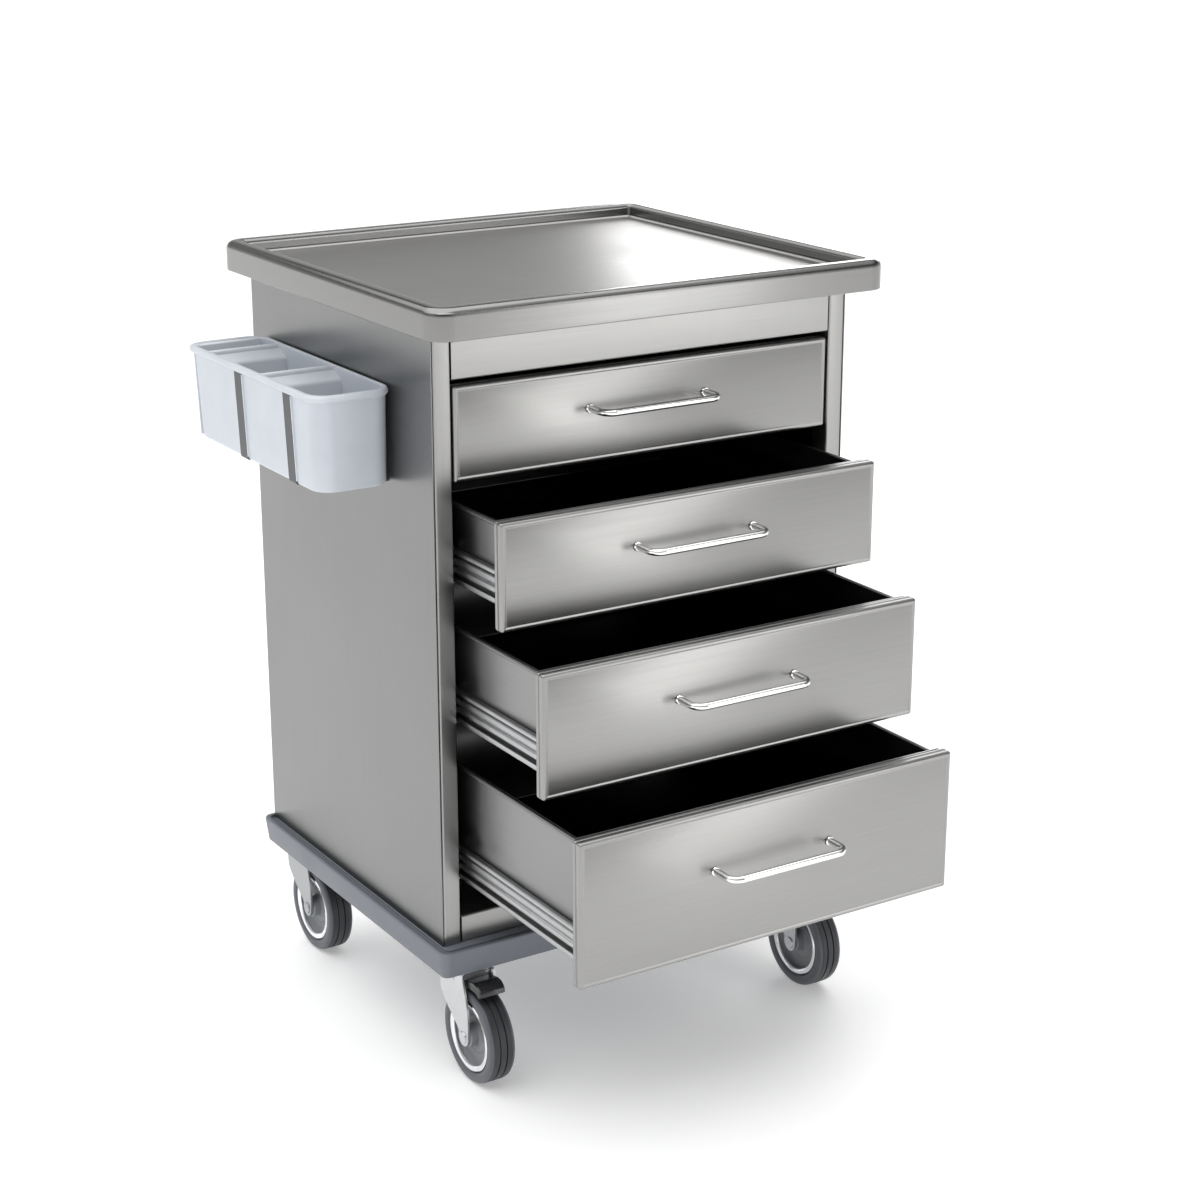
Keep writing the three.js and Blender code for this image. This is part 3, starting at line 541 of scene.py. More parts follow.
def deck():
    """Moulded deck: draughted sides, a raised rim round a shallow gutter, hollow below."""
    low, high = box_of("base_deck")
    corner, draft, wall, rise = 12.0, 4.0, 6.0, 2.0
    gutter = high.z - 2.5
    profile = [(draft + wall, high.z - wall)]
    profile += [(draft + wall, low.z + 1.0), (draft + wall - 1.0, low.z), (draft + 1.6, low.z)]
    profile += arc((draft + 1.6, low.z + 1.6), 1.6, 270, 186, 4)
    profile += arc((2.8, high.z + rise - 2.8), 2.8, 180, 90, 5)
    profile += arc((5.2, high.z + rise - 1.4), 1.4, 90, 10, 4)
    profile += arc((8.0, gutter + 1.2), 1.2, 190, 270, 4)
    profile += [(11.4, gutter), (12.4, gutter + 0.6), (12.8, high.z - 0.4), (13.4, high.z)]
    rings = [loop_at(low, high, inset, corner, 8.0, z) for inset, z in profile]
    pads = []
    for name, _ in CORNERS:
        plate_low, plate_high = box_of(f"caster_plate_{name}")
        grow, margin = 8.0, draft + wall / 2
        pads.append(slab(
            (max(plate_low.x - grow, low.x + margin), min(plate_high.x + grow, high.x - margin)),
            (max(plate_low.y - grow, low.y + margin), min(plate_high.y + grow, high.y - margin)),
            (low.z, high.z - wall + 0.5), 8.0, "Z", 6,
        ))
    piece(
        "bumper_deck", [skin(rings), *pads], deck_plastic, "cabinet",
        ["base_deck"], sharp=40,
    )


deck()


# ------------------------------------------------------------------ drawers

FRONT_SKIN = 16.0
BOX_RAISE = 30.0
BOX_DROP = 5.0
BOX_HALF = 258.5
BOX_SHEET = 1.2
PLATE = 2.5
PLATE_GAP = 2.5


def drawer_front(number):
    """Front pan: rolled edge round a flat face, and a hem line round its sides."""
    low, high = box_of(f"drawer_front_{number}")
    face, corner, least = low.y, 3.4, 0.8
    profile = [(7.0, 0.45), (6.5, 0.75), (6.0, 0.6), (5.2, 0.15), (4.4, 0.0)]
    profile += arc((4.2, 4.2), 4.2, 270, 180, 6)
    profile += [(0.0, 8.7), (0.25, 9.0), (1.0, 9.15), (1.0, 9.85), (0.25, 10.0), (0.0, 10.3)]
    profile += arc((1.6, FRONT_SKIN - 1.6), 1.6, 180, 90, 4)
    profile += [(3.6, FRONT_SKIN), (3.6, 3.0)]
    rings = []
    for inset, depth in profile:
        x, z = (low.x + inset, high.x - inset), (low.z + inset, high.z - inset)
        rings.append(placed(rounded_loop(x, z, max(corner - inset, least), 5), "Y", face + depth))
    piece(
        f"front_pan_{number}", [skin(rings)], steel_across, f"drawer_{number}",
        [f"drawer_front_{number}"], sharp=50,
    )


def bead_path(side, wall_x, top, radius):
    """A sheet's upper edge rolled outwards into a bead, ending at the wall."""
    centre = (wall_x + side * radius, top - radius)
    start, end = (-10, 180) if side > 0 else (190, 0)
    return arc(centre, radius, start - side * 60, end, 10)


def drawer_box(number):
    """Folded box: walls and floor from one sheet with rolled rims, rear wall and front plate."""
    low, high = box_of(f"drawer_box_{number}")
    front_low, front_high = box_of(f"drawer_front_{number}")
    start = front_high.y + PLATE_GAP
    end = high.y
    bottom, top = front_low.z + BOX_RAISE, front_high.z - BOX_DROP
    mid = BOX_SHEET / 2
    radius = 2.3
    left_x, right_x = across(-1, BOX_HALF - mid), across(1, BOX_HALF - mid)
    line = bead_path(-1, left_x, top - mid, radius) + [(left_x, top - radius - 1.5)]
    line += [(left_x, bottom + mid), (right_x, bottom + mid)]
    line += [(right_x, top - radius - 1.5)] + bead_path(1, right_x, top - mid, radius)[::-1]
    trough = prism(ribbon(line, BOX_SHEET, 2.5), "Y", start + PLATE, end)
    rear = slab((left_x, right_x), (end - BOX_SHEET, end), (bottom, top - 4), 3.0, "Y")
    plate = slab(
        (low.x, high.x), (start, start + PLATE),
        (front_low.z + 1, front_high.z - 1), 2.5, "Y", 5,
    )
    inset, margin, spacer, bore, bite = 40.0, 12.0, 6.0, 2.0, 0.5
    tube = [(spacer, start + bite), (spacer, low.y), (bore, low.y), (bore, start + bite)]
    spacers = [
        turned(tube, (across(side, BOX_HALF - inset), 0, z), "Y", 20)
        for side in (-1, 1) for z in (bottom + margin, top - margin)
    ]
    piece(
        f"box_shell_{number}", [trough, rear, plate, *spacers], steel_box, f"drawer_{number}",
        [f"drawer_box_{number}"], 0.3,
    )


def drawer_liner(number):
    """Thin black tray that lines the box."""
    front_low, front_high = box_of(f"drawer_front_{number}")
    box_end = box_of(f"drawer_box_{number}")[1].y
    wall, foot, corner, air = 1.6, 5.0, 5.0, 0.3
    half = BOX_HALF - BOX_SHEET - air
    x = (across(-1, half), across(1, half))
    y = (front_high.y + PLATE_GAP + PLATE + air, box_end - BOX_SHEET - air)
    floor = front_low.z + BOX_RAISE + BOX_SHEET + air
    top = front_high.z - BOX_DROP - 2 * air
    profile = [(0.8, floor), (0.0, floor + 0.8), (0.0, top - 0.6)]
    profile += [(0.6, top), (wall - 0.4, top), (wall, top - 0.5)]
    profile += arc((wall + foot, floor + wall + foot), foot, 180, 270, 6)
    rings = [
        placed(rounded_loop((x[0] + i, x[1] - i), (y[0] + i, y[1] - i), corner, 5), "Z", z)
        for i, z in profile
    ]
    liner, body = f"drawer_liner_{number}", f"drawer_{number}"
    piece(liner, [skin(rings)], liner_black, body, sharp=50)


def tube_along(path, radius, sides=20):
    """A round bar along a level path of 3-D points, with flat ends."""
    points = [Vector(p) for p in path]
    rings = []
    for i, point in enumerate(points):
        ahead = (points[min(i + 1, len(points) - 1)] - points[max(i - 1, 0)]).normalized()
        outward = ahead.cross(Vector((0, 0, 1)))
        ring = [tuple(point + outward * u + Vector((0, 0, v))) for u, v in circle(radius, sides)]
        rings.append(ring)
    return skin(rings)


def drawer_handle(number):
    """Bar with two round bends and a slim collar at each foot."""
    low, high = box_of(f"drawer_handle_{number}")
    radius = (high.z - low.z) / 2
    level = (high.z + low.z) / 2
    left, right = low.x + radius, high.x - radius
    bar, foot, bend = low.y + radius, high.y, 15.0
    flat = [(left, foot)]
    flat += arc((left + bend, bar + bend), bend, 180, 270, 12)
    flat += arc((right - bend, bar + bend), bend, 270, 360, 12)
    flat += [(right, foot)]
    bar_shape = tube_along([(x, y, level) for x, y in flat], radius, 24)
    bite, lip = radius - 1, radius + 1.3
    collar = [(bite, 0.0), (lip, 0.0), (lip, -0.9), (lip - 0.7, -1.7), (bite, -1.7)]
    collars = [turned(collar, (x, foot, level), "Y", 28) for x in (left, right)]
    piece(
        f"pull_bar_{number}", [bar_shape, *collars], polished, f"drawer_{number}",
        [f"drawer_handle_{number}"], sharp=40,
    )


def slide_profile(web_x, reach_x, height, level):
    """Section of a slide member: a web with two swaged ribs and returned edges."""
    way = 1 if reach_x > web_x else -1
    web = web_x + way * 0.7
    reach = reach_x - way * 0.7
    rib = web + way * (abs(reach - web) * 0.62)
    half = height / 2 - 0.7
    line = [
        (reach, level - half + 6.5), (reach, level - half), (web, level - half),
        (web, level - half * 0.52), (rib, level - half * 0.40), (rib, level - half * 0.12),
        (web, level), (rib, level + half * 0.16), (rib, level + half * 0.46),
        (web, level + half * 0.60),
        (web, level + half), (reach, level + half), (reach, level + half - 4.5),
    ]
    return ribbon(line, 1.4, 1.6, 3)


def slides(number):
    """The drawer's and the cabinet's member on each side, open towards each other."""
    members = (("drawer", f"drawer_{number}", 1), ("cabinet", "cabinet", -1))
    for name, side in SIDES:
        for member, body, web_side in members:
            node = f"{member}_slide_{number}_{name}"
            low, high = box_of(node)
            inner, outer = (low.x, high.x) if side > 0 else (high.x, low.x)
            web, reach = (inner, outer) if web_side > 0 else (outer, inner)
            outline = slide_profile(web, reach, high.z - low.z, (low.z + high.z) / 2)
            piece(
                f"{member}_runner_{number}_{name}", [prism(outline, "Y", low.y, high.y)],
                slide_steel, body, [node], 0.25,
            )


for drawer in DRAWERS:
    drawer_front(drawer)
    drawer_box(drawer)
    drawer_liner(drawer)
    drawer_handle(drawer)
    slides(drawer)


# ------------------------------------------------------------------ side bin


BIN_RIM = 5.0  # how far the rolled rim stands out
BIN_WALL = 3.0
BIN_TAPER = 5.0
RIDGES = (60.0, 217.0)  # cross walls, from the bin's rear edge
REAR_LEDGE = 14.0
STRAP = 1.5
STRAP_WIDTH = 20.0
STRAP_PLACES = (0.42, 0.79)  # share of the bin's length, from its rear edge


def bin_lean(z):
    """How far the bin's outer sides have moved in at a height."""
    low, high = box_of("bin")
    return BIN_TAPER * (high.z - z) / (high.z - low.z)


def bin_ring(inset, corner, z):
    """A level of the bin: the side against the cabinet stays upright, the three others lean in."""
    low, high = box_of("bin")
    lean = bin_lean(z) if inset >= BIN_RIM - 1 else 0.0
    inner = min(inset, 1.0) + max(inset - BIN_RIM, 0.0)
    x = (low.x + inset + lean, high.x - inner)
    y = (low.y + inset + lean, high.y - inset - lean)
    return placed(rounded_loop(x, y, corner, 8), "Z", z)


def bin_wall(outline):
    """A shape across the bin from an outline in (y, z); its outer end follows the leaning side."""
    low, high = box_of("bin")
    outer = [(low.x + BIN_RIM + 1.5 + bin_lean(z), y, z) for y, z in outline]
    inner = [(high.x - 2.5, y, z) for y, z in outline]
    return skin([outer, inner])


def cross_wall(middle):
    """A round-topped cross wall with a sloping ledge in front of it, hollow below."""
    low, high = box_of("bin")
    half, reach, sheet, foot = 4.0, 22.0, 2.6, low.z + 2.0
    round_z, hollow_z, brow = high.z - 5.0, high.z - 10.5, high.z - 18.0
    back, start, end = middle + half, middle - half, middle - half - reach
    outline = [(back, round_z - 0.2)] + arc((middle, round_z), half, 0, 180, 8)
    outline += [(start - 0.5, round_z - 1.5), (end + 3.0, brow + 4.6), (end + 0.9, brow + 3.0)]
    outline += [(end, brow), (end, foot), (end + sheet, foot), (end + sheet, brow)]
    outline += [(start, hollow_z)]
    outline += [(back - sheet, hollow_z), (back - sheet, foot), (back, foot)]
    return bin_wall(outline)


def strap_places():
    """Front and rear edge of each bracket strap along Y."""
    low, high = box_of("bin")
    middles = [high.y - share * (high.y - low.y) for share in STRAP_PLACES]
    return [(m - STRAP_WIDTH / 2, m + STRAP_WIDTH / 2) for m in middles]


def strap_rib(edge):
    """Thin moulded rib beside a strap, up the leaning outer side."""
    low, high = box_of("bin")
    bottom, top, width, proud, bite = low.z + 5.0, high.z - 10.5, 1.6, 1.9, 1.0
    rings = []
    for z in (bottom, top):
        face = low.x + BIN_RIM + bin_lean(z)
        outer, inner, end = face - proud, face + bite, edge + width
        rings.append([(outer, edge, z), (outer, end, z), (inner, end, z), (inner, edge, z)])
    return skin(rings)


def side_bin():
    """Tapered tub with a rolled rim, two cross walls with round tops and a ledge at the rear."""
    low, high = box_of("bin")
    corner, foot, heel = 24.0, 7.0, 4.0
    outer = [(BIN_RIM + 10.0, low.z)]
    turns = (0.3, 0.7, 1.1, 1.57)
    outer += [(BIN_RIM + heel * (1 - math.sin(a)), low.z + heel * (1 - math.cos(a))) for a in turns]
    outer += [(BIN_RIM, high.z - 11.0), (BIN_RIM - 0.8, high.z - 9.6), (BIN_RIM - 2.6, high.z - 8.6)]
    roll = arc((2.8, high.z - 5.2), 2.8, 250, 180, 3) + arc((3.6, high.z - 3.6), 3.6, 180, 90, 5)
    inside = BIN_RIM + BIN_WALL
    inner = arc((inside - 1.6, high.z - 1.8), 1.8, 90, 0, 4)
    inner += [(inside, high.z - 6.0), (inside, low.z + BIN_WALL + foot)]
    inner += arc((inside + foot, low.z + BIN_WALL + foot), foot, 190, 270, 5)
    tub = skin([bin_ring(i, corner, z) for i, z in outer + roll + inner])

    back = high.y - BIN_RIM - BIN_WALL + 1.0
    ledge, sheet, base = high.y - BIN_RIM - REAR_LEDGE, 2.6, low.z + 2.0
    shelf_top, shelf_under = high.z - 1.4, high.z - 4.4
    shelf = [(back, shelf_top), (ledge + 2.4, shelf_top)]
    shelf += [(ledge + 0.7, shelf_top - 0.7), (ledge, shelf_top - 2.4)]
    shelf += [(ledge, base), (ledge + sheet, base)]
    shelf += [(ledge + sheet, shelf_under), (back, shelf_under)]
    walls = [cross_wall(high.y - place) for place in RIDGES] + [bin_wall(shelf)]
    edges = [edge for front, rear in strap_places() for edge in (front - 2.0, rear + 0.4)]
    ribs = [strap_rib(edge) for edge in edges]
    piece(
        "bin_tub", [tub, *walls, *ribs], bin_plastic, "cabinet",
        ["bin"], 0.25, 2, 42,
    )


def bin_bracket():
    """Wall plate and the two flat straps that carry the bin."""
    low, high = box_of("bin_bracket")
    bin_low, bin_high = box_of("bin")
    plate_face, corner, strap_end = 2.3, 3.0, 1.4
    plate_x = (body_low.x - plate_face, body_low.x - HAIR)
    plate = slab(plate_x, (low.y, high.y), (low.z, high.z), corner, "X")
    under, top = bin_low.z + STRAP / 2, bin_high.z - 9.0
    straps = []
    for strap in strap_places():
        faces = [(bin_low.x + BIN_RIM + bin_lean(z) - STRAP / 2 - 0.4, z) for z in (under, top)]
        line = [(body_low.x - strap_end, under), *faces]
        straps.append(prism(ribbon(line, STRAP, 2.5), "Y", *strap))
    piece(
        "bin_straps", [plate, *straps], strap_metal, "cabinet",
        ["bin_bracket"], 0.3,
    )


side_bin()
bin_bracket()


# ------------------------------------------------------------------ casters

FORK_SHEET = 3.0
FORK_HALF = 23.8  # outer half width of the fork
FORK_FRONT = -30.0  # edges of the crown, from the swivel axis
FORK_REAR = 28.0
LIP_DROP = 9.0
EYE = 12.0  # radius of the fork's round end
TRAIL = 30.0  # the axle in front of the swivel axis
AXLE = 5.0
PIN_PLACE = (-6.0, 134.5)
CORE = 0.01  # inner radius of solid turned pieces

# The fork's edges as (height, Y from the swivel axis), from the axle up.
FORK_FRONT_EDGE = (
    (62.5, -42.0), (80, -42.4), (92, -42.2), (102, -41.2), (112, -39.0),
    (121, -36.3), (130, -33.2), (136, -31.2), (141, FORK_FRONT), (150, FORK_FRONT),
)
FORK_REAR_EDGE = (
    (68.5, -19.6), (74, -13.0), (80, -4.5), (87, 5.0), (94, 13.8),
    (101, 21.4), (108, 26.4), (115, FORK_REAR), (150, FORK_REAR),
)


def caster_axis(name):
    """X and Y of the swivel axis."""
    low, high = box_of(f"caster_plate_{name}")
    return (low.x + high.x) / 2, (low.y + high.y) / 2


def solid_turned(profile, centre, axis, sides):
    """A solid of revolution whose profile starts and ends on the axis."""
    closed_profile = [(CORE, profile[0][1]), *profile, (CORE, profile[-1][1])]
    return turned(closed_profile, centre, axis, sides, closed=False)


def caster_plate(name):
    """Top plate with its swivel race and four bolts with thin heads."""
    low, high = box_of(f"caster_plate_{name}")
    x, y = caster_axis(name)
    sheet, corner, bore, flange, ring = 3.0, 8.0, 8.0, 24.6, 23.8
    bolt_x, bolt_y, washer_radius, head_radius = 33.0, 17.0, 6.4, 5.4
    plate = slab((low.x, high.x), (low.y, high.y), (high.z - sheet, high.z), corner, "Z", 6)
    race = [(bore, high.z - 2.0), (flange, high.z - 2.0), (flange, high.z - 3.6)]
    race += [(ring, high.z - 4.2), (ring, low.z + 0.5), (ring - 0.6, low.z), (bore, low.z)]
    washer = [(washer_radius, 0.2), (washer_radius, -0.6)]
    head = [(head_radius, -0.4), (head_radius, -1.3), (head_radius - 0.7, -1.7)]
    bolts = []
    for sx in (-1, 1):
        for sy in (-1, 1):
            centre = (x + sx * bolt_x, y + sy * bolt_y, high.z - sheet)
            bolts += [solid_turned(washer, centre, "Z", 28), solid_turned(head, centre, "Z", 6)]
    piece(
        f"top_plate_{name}", [plate, turned(race, (x, y, 0), "Z", 48), *bolts],
        zinc, "cabinet", [f"caster_plate_{name}"], 0.5,
    )


def along(table, z):
    """Value at a height in a table of (height, value)."""
    for (z0, v0), (z1, v1) in zip(table, table[1:]):
        if z <= z1:
            return v0 + (v1 - v0) * (z - z0) / (z1 - z0)
    return table[-1][1]


def fork_edges(z, axle_z):
    """Front and rear edge of the fork's arm at a height, about the swivel axis."""
    half = math.sqrt(max(EYE**2 - (axle_z - z) ** 2, 0.4))
    front = along(FORK_FRONT_EDGE, z) if z > axle_z else -TRAIL - half
    rear = along(FORK_REAR_EDGE, z) if z > FORK_REAR_EDGE[0][0] else -TRAIL + half
    return front, rear


def yoke(x, y, top, axle_z):
    """One sheet bent over the wheel into two tapering arms."""
    bend, columns, levels = 7.0, 9, 16
    heights = [axle_z - (EYE - 0.1) * math.cos(math.radians(a)) for a in (8, 25, 45, 65, 90)]
    heights += [axle_z + (top - bend - axle_z) * i / levels for i in range(1, levels + 1)]
    path = [(-FORK_HALF, z) for z in heights]
    path += arc((-FORK_HALF + bend, top - bend), bend, 180, 90, 5)[1:]
    path += [(share * FORK_HALF, top) for share in (-0.5, 0, 0.5)]
    path += arc((FORK_HALF - bend, top - bend), bend, 90, 0, 5)[:-1]
    path += [(FORK_HALF, z) for z in heights[::-1]]

    def surface(depth):
        grid = []
        for i, (px, pz) in enumerate(path):
            ahead = Vector(path[min(i + 1, len(path) - 1)]) - Vector(path[max(i - 1, 0)])
            inward = Vector((ahead.y, -ahead.x)).normalized() * depth
            front, rear = fork_edges(pz, axle_z)
            shares = [column / (columns - 1) for column in range(columns)]
            row_x, row_z = x + px + inward.x, pz + inward.y
            grid.append([(row_x, y + front + (rear - front) * t, row_z) for t in shares])
        return grid

    return skin([outer + inner[::-1] for outer, inner in zip(surface(0.0), surface(FORK_SHEET))])


def axle_head(side):
    """Profile of the axle's domed head on one side of the fork."""
    out = [(8.0, -0.5), (8.0, 0.8), (7.2, 1.8), (4.0, 2.0)]
    return [(radius, side * (FORK_HALF + reach)) for radius, reach in out]


def caster_fork(name, has_pedal):
    """Pressed yoke with turned-in lips, its axle and, at the front, the pedal's pin and stem."""
    top = box_of(f"caster_fork_{name}")[1].z
    wheel_low, wheel_high = box_of(f"tyre_{name}")
    x, y = caster_axis(name)
    axle_y, axle_z = (wheel_low.y + wheel_high.y) / 2, (wheel_low.z + wheel_high.z) / 2
    lips = []
    for edge, way in ((FORK_FRONT, 1), (FORK_REAR, -1)):
        ys = sorted((y + edge, y + edge + way * FORK_SHEET))
        lip_x = (x - FORK_HALF + 1, x + FORK_HALF - 1)
        lips.append(slab(lip_x, ys, (top - LIP_DROP, top - 1.5), 3.0, "Y", 4))
    axle_end, pin_end, pin = FORK_HALF + 1.0, FORK_HALF + 0.6, 3.0
    centre = (x, axle_y, axle_z)
    axle = solid_turned([(AXLE, -axle_end), (AXLE, axle_end)], centre, "X", 24)
    rivet = solid_turned(axle_head(-1), centre, "X", 28)
    nut = solid_turned(axle_head(1), centre, "X", 6)
    shapes = [yoke(x, y, top, axle_z), *lips, axle, rivet, nut]
    if has_pedal:
        pin_centre = (x, y + PIN_PLACE[0], PIN_PLACE[1])
        shapes.append(solid_turned([(pin, -pin_end), (pin, pin_end)], pin_centre, "X", 20))
        stem, stem_top = 2.6, top - 0.4
        stem_profile = [(stem, top - 10.0), (stem, stem_top - 0.6), (stem - 0.6, stem_top)]
        stem_centre = (x + FORK_HALF - 5.0, y + FORK_FRONT - 3.0, 0)
        shapes.append(solid_turned(stem_profile, stem_centre, "Z", 20))
    # the rear forks take the darker zinc copy as painted shade
    piece(
        f"yoke_{name}", shapes, zinc if has_pedal else zinc_painted_shade, f"swivel_{name}",
        [f"caster_fork_{name}"], 0.5, 2, 45,
    )


def mirrored(profile):
    """The same (radius, along) points on the wheel's other side, in closing order."""
    return [(radius, -reach) for radius, reach in profile[::-1]]


def wheel(name):
    """Rubber tyre with a grooved tread band in a darker copy of the rubber as painted shade, a
    bright rim ring and a dished core.
    """
    low, high = box_of(f"tyre_{name}")
    centre, body = tuple((low + high) / 2), f"wheel_{name}"
    radius, half = (high.z - low.z) / 2, (high.x - low.x) / 2
    seat, rim, shoulder, bed = 47.3, 46.9, 5.6, radius - 2.4

    side = [(seat, half - 4.2), (seat + 2.2, half - 1.4), (seat + 4.5, half - 0.3)]
    side += [(radius - 8.0, half)]
    side += [
        (radius - shoulder + 5.2 * math.sin(a), half - shoulder + shoulder * math.cos(a))
        for a in (0.35, 0.7, 1.05, 1.3)
    ]
    tyre = side + [(bed, 8.0), (bed, 0.0)] + mirrored(side)
    piece(
        f"tyre_ring_{name}", [turned(tyre, centre, "X", 96)],
        tyre_rubber, body, [f"tyre_{name}"], sharp=50,
    )

    groove = radius - 1.9
    crown = [(radius - 3.2, 13.8), (radius - 1.7, 14.8), (radius - 0.5, 13.4), (radius - 0.15, 11.0)]
    crown += [(radius - 0.2, 6.0), (groove, 5.4), (groove, 4.4), (radius - 0.1, 3.8)]
    tread = crown + [(radius, 0.0)] + mirrored(crown)
    # the tread band is painted darker than the tyre's sides, as shade
    piece(
        f"tread_{name}", [turned(tread, centre, "X", 96)],
        tread_rubber_painted_shade, body, sharp=50,
    )

    foot = 39.6
    section = [(foot, half - 4.6), (rim - 0.3, half - 3.8), (rim, half - 2.2)]
    section += [(rim - 1.3, half - 1.0), (foot + 2.0, half - 1.5), (foot, half - 3.2)]
    rings = [turned([(r, sign * a) for r, a in section], centre, "X", 80) for sign in (-1, 1)]
    piece(f"rim_ring_{name}", rings, bright_ring, body, sharp=40)

    core = [(5.4, 20.0), (12.0, 20.0), (13.6, 18.6), (14.4, 9.0), (17.0, 6.4)]  # boss
    core += [(24.0, 5.6), (24.6, 5.0), (25.6, 5.0), (26.2, 5.6), (34.0, 5.4)]  # web and its groove
    core += [(38.6, 7.6), (41.8, 13.0), (rim, 13.0)]  # seat
    piece(
        f"wheel_core_{name}", [turned(core + mirrored(core), centre, "X", 80)],
        hub_plastic, body, [f"wheel_hub_{name}"], 0.3,
    )


def brake_pedal(name):
    """Curved foot lever with a hooked toe; its outline is (Y from the swivel axis, height)."""
    low, high = box_of(f"brake_pedal_{name}")
    x, y = caster_axis(name)
    upper = [(0.0, 140.0), (-18.0, 140.6), (-34.0, 141.4), (-48.0, 143.4)]
    upper += [(-58.0, 142.0), (-65.0, 137.0), (-66.6, 130.5)]
    lower = [(-62.8, 127.6), (-57.0, 131.0), (-50.0, 132.2), (-42.0, 131.2)]
    lower += [(-34.0, 129.8), (-26.0, 129.4), (0.0, 129.2)]
    outline = fillet(upper, 6.0, 4) + fillet(lower, 5.0, 4)
    half = (high.x - low.x) / 2
    middle = Vector((-33.0, 136.0))
    rounding = ((-1.0, 1.6), (-0.95, 0.5), (-0.86, 0.0), (0.86, 0.0), (0.95, 0.5), (1.0, 1.6))
    rings = []
    for share, shrink in rounding:
        loop = []
        for u, v in outline:
            toward = middle - Vector((u, v))
            step = toward.normalized() * min(shrink, toward.length * 0.3)
            loop.append((y + u + step.x, v + step.y))
        rings.append(placed(loop, "X", x + share * half))
    piece(
        f"foot_lever_{name}", [skin(rings)], black_plastic, f"pedal_{name}",
        [f"brake_pedal_{name}"], sharp=45,
    )


for corner_name, corner_end in CORNERS:
    pedal_here = corner_end == "front"
    caster_plate(corner_name)
    caster_fork(corner_name, pedal_here)
    wheel(corner_name)
    if pedal_here:
        brake_pedal(corner_name)


# ------------------------------------------------------------------ floor, light, camera


FLOOR_REACH = 150.0
FLOOR_DROP = 0.0002  # keeps the floor clear of the tyres
FLOOR_GLOW = 0.29

# The world's grey level at heights on the unit sphere: bright horizon, dark band, bright top.
SKY_LEVELS = (
    (0.0, 1.5), (0.14, 0.72), (0.26, 0.66), (0.36, 0.14), (0.58, 0.14), (0.7, 1.0), (1.0, 1.0),
)
SKY_STRENGTH = 0.66

SUN_STRENGTH = 2.15
SUN_ANGLE = 96
SUN_TILT = (-14, -12)

# Soft boxes as name, place, target, size and power, in metres and watts.
SOFT_BOXES = (
    ("front_strip", (2.05, -3.35, 1.5), (0, -0.1, 0.6), (0.9, 3.0), 18),
    ("top_strip", (-0.6, -1.7, 2.6), (0, -0.2, 0.7), (3.0, 0.35), 9),
    ("left_box", (-3.2, -0.4, 2.0), (0, 0, 0.5), (2.0, 2.0), 2),
    ("rear_box", (2.6, 2.2, 1.75), (0.1, 0.0, 0.95), (2.0, 1.0), 22),
)

# The camera's place about a point near the cart's middle, fitted to the photograph.
CAMERA_AZIMUTH = -32.2
CAMERA_ELEVATION = 17.75
CAMERA_DISTANCE = 3.232
CAMERA_SIDEWAYS = 0.0730
CAMERA_HEIGHT = 0.5242
CAMERA_LENS = 72.0
CAMERA_SENSOR = 36.0


def floor():
    """Plain pale floor with a faint glow of its own."""
    nodes = Nodes("studio_floor")
    cloud = nodes.noise((0.8, 0.8, 0.8), 2.0, 0.5)
    nodes.feed("Base Color", nodes.blend(cloud, (0.86, 0.86, 0.86), (0.88, 0.88, 0.88)))
    nodes.shader.inputs["Roughness"].default_value = 0.6
    nodes.shader.inputs["Emission Color"].default_value = (1.0, 1.0, 1.0, 1.0)
    nodes.shader.inputs["Emission Strength"].default_value = FLOOR_GLOW
    signs = ((-1, -1), (1, -1), (1, 1), (-1, 1))
    corners = [(x * FLOOR_REACH, y * FLOOR_REACH, 0) for x, y in signs]
    mesh = bpy.data.meshes.new("studio_floor")
    mesh.from_pydata(corners, [], [(0, 1, 2, 3)])
    mesh.materials.append(nodes.material)
    made = bpy.data.objects.new("studio_floor", mesh)
    made.location.z = -FLOOR_DROP
    scene.collection.objects.link(made)


def softbox(name, place, target, size, power):
    """A rectangular light that faces its target and stays out of the camera's sight."""
    lamp = bpy.data.lights.new(name, "AREA")
    lamp.shape = "RECTANGLE"
    lamp.size, lamp.size_y = size
    lamp.energy = power
    made = bpy.data.objects.new(name, lamp)
    made.location = place
    made.rotation_euler = (Vector(target) - Vector(place)).to_track_quat("-Z", "Y").to_euler()
    made.visible_camera = False
    scene.collection.objects.link(made)


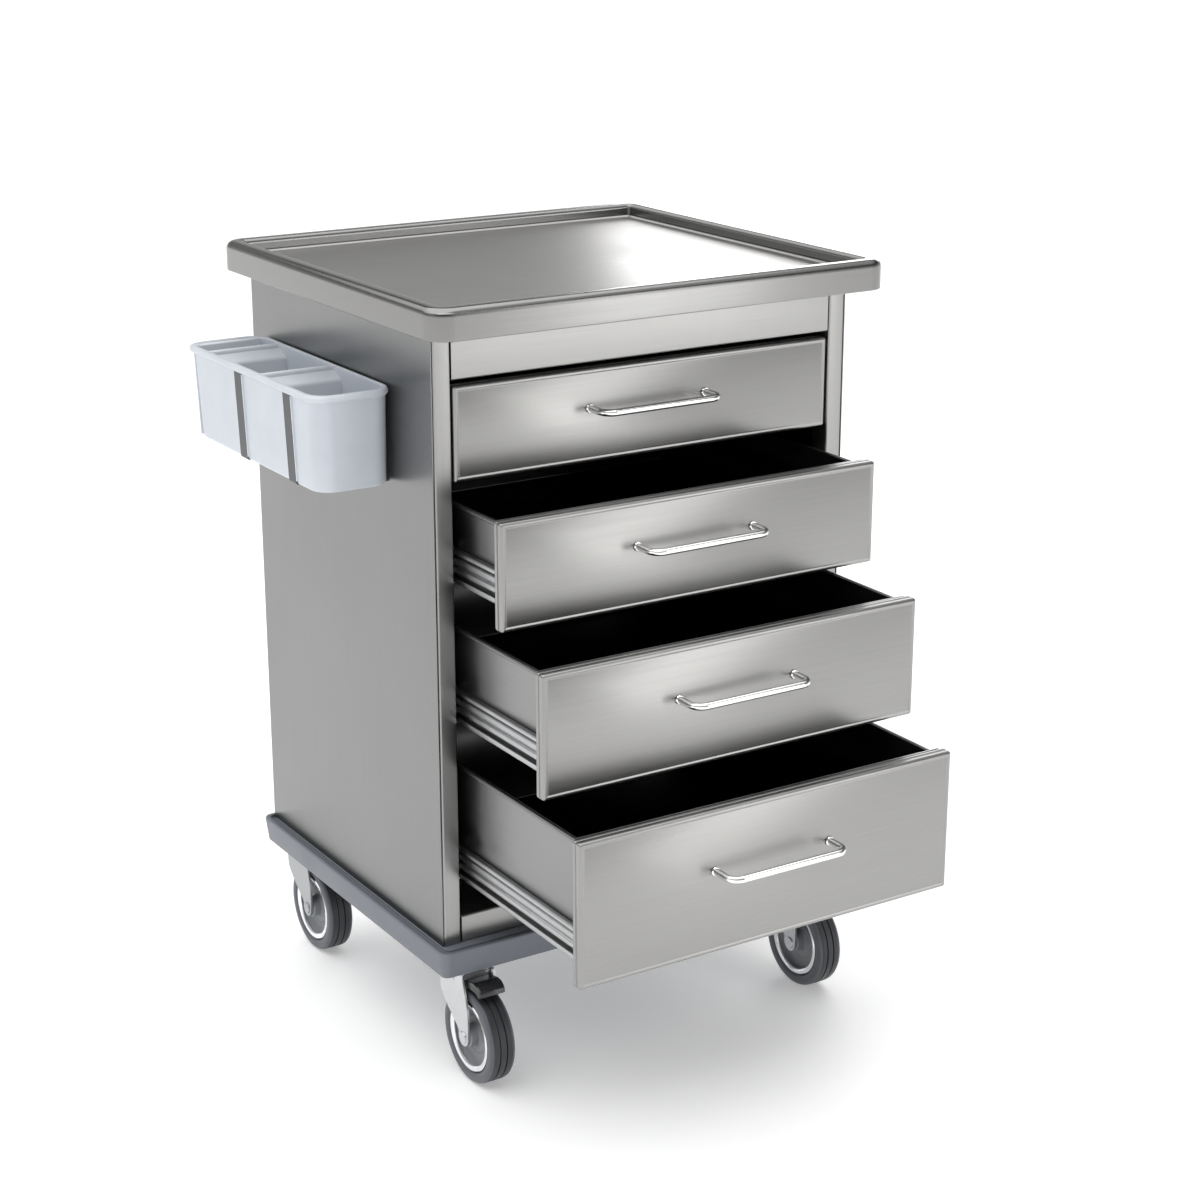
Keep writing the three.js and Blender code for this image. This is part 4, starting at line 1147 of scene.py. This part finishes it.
def studio():
    """A pale room with a darker band half way up, which draws thin lines on rolled edges."""
    world = bpy.data.worlds.new("studio")
    scene.world = world
    world.use_nodes = True
    tree = world.node_tree
    background = tree.nodes["Background"]
    place = tree.nodes.new("ShaderNodeTexCoord")
    split = tree.nodes.new("ShaderNodeSeparateXYZ")
    ramp = tree.nodes.new("ShaderNodeValToRGB")
    tree.links.new(place.outputs["Generated"], split.inputs["Vector"])
    tree.links.new(split.outputs["Z"], ramp.inputs["Fac"])
    tree.links.new(ramp.outputs["Color"], background.inputs["Color"])
    stops = ramp.color_ramp.elements
    for position, _ in SKY_LEVELS[1:-1]:
        stops.new(position)
    for stop, (position, level) in zip(stops, SKY_LEVELS):
        stop.position, stop.color = position, (level, level, level, 1)
    background.inputs["Strength"].default_value = SKY_STRENGTH


def camera():
    """The camera looks down on the left front corner."""
    azimuth, elevation = math.radians(CAMERA_AZIMUTH), math.radians(CAMERA_ELEVATION)
    back = Vector((
        math.sin(azimuth) * math.cos(elevation),
        -math.cos(azimuth) * math.cos(elevation),
        math.sin(elevation),
    ))
    right = Vector((0, 0, 1)).cross(back).normalized()
    middle = Vector((BODY_MIDDLE.x * MM, BODY_MIDDLE.y * MM, CAMERA_HEIGHT))
    target = middle + right * CAMERA_SIDEWAYS
    data = bpy.data.cameras.new("camera")
    data.lens, data.sensor_width = CAMERA_LENS, CAMERA_SENSOR
    made = bpy.data.objects.new("camera", data)
    made.location = target + back * CAMERA_DISTANCE
    made.rotation_mode = "QUATERNION"
    made.rotation_quaternion = (-back).to_track_quat("-Z", "Y")
    data.clip_start, data.clip_end = 0.05, 100.0
    scene.collection.objects.link(made)
    scene.camera = made


def overhead():
    """A very wide, even light from above and a little behind, for soft ground shadows."""
    lamp = bpy.data.lights.new("overhead", "SUN")
    lamp.energy, lamp.angle = SUN_STRENGTH, math.radians(SUN_ANGLE)
    made = bpy.data.objects.new("overhead", lamp)
    made.rotation_euler = (math.radians(SUN_TILT[0]), math.radians(SUN_TILT[1]), 0)
    scene.collection.objects.link(made)


floor()
studio()
overhead()
for soft_box in SOFT_BOXES:
    softbox(*soft_box)
camera()
scene.view_settings.view_transform = "Standard"
scene.view_settings.look = "None"
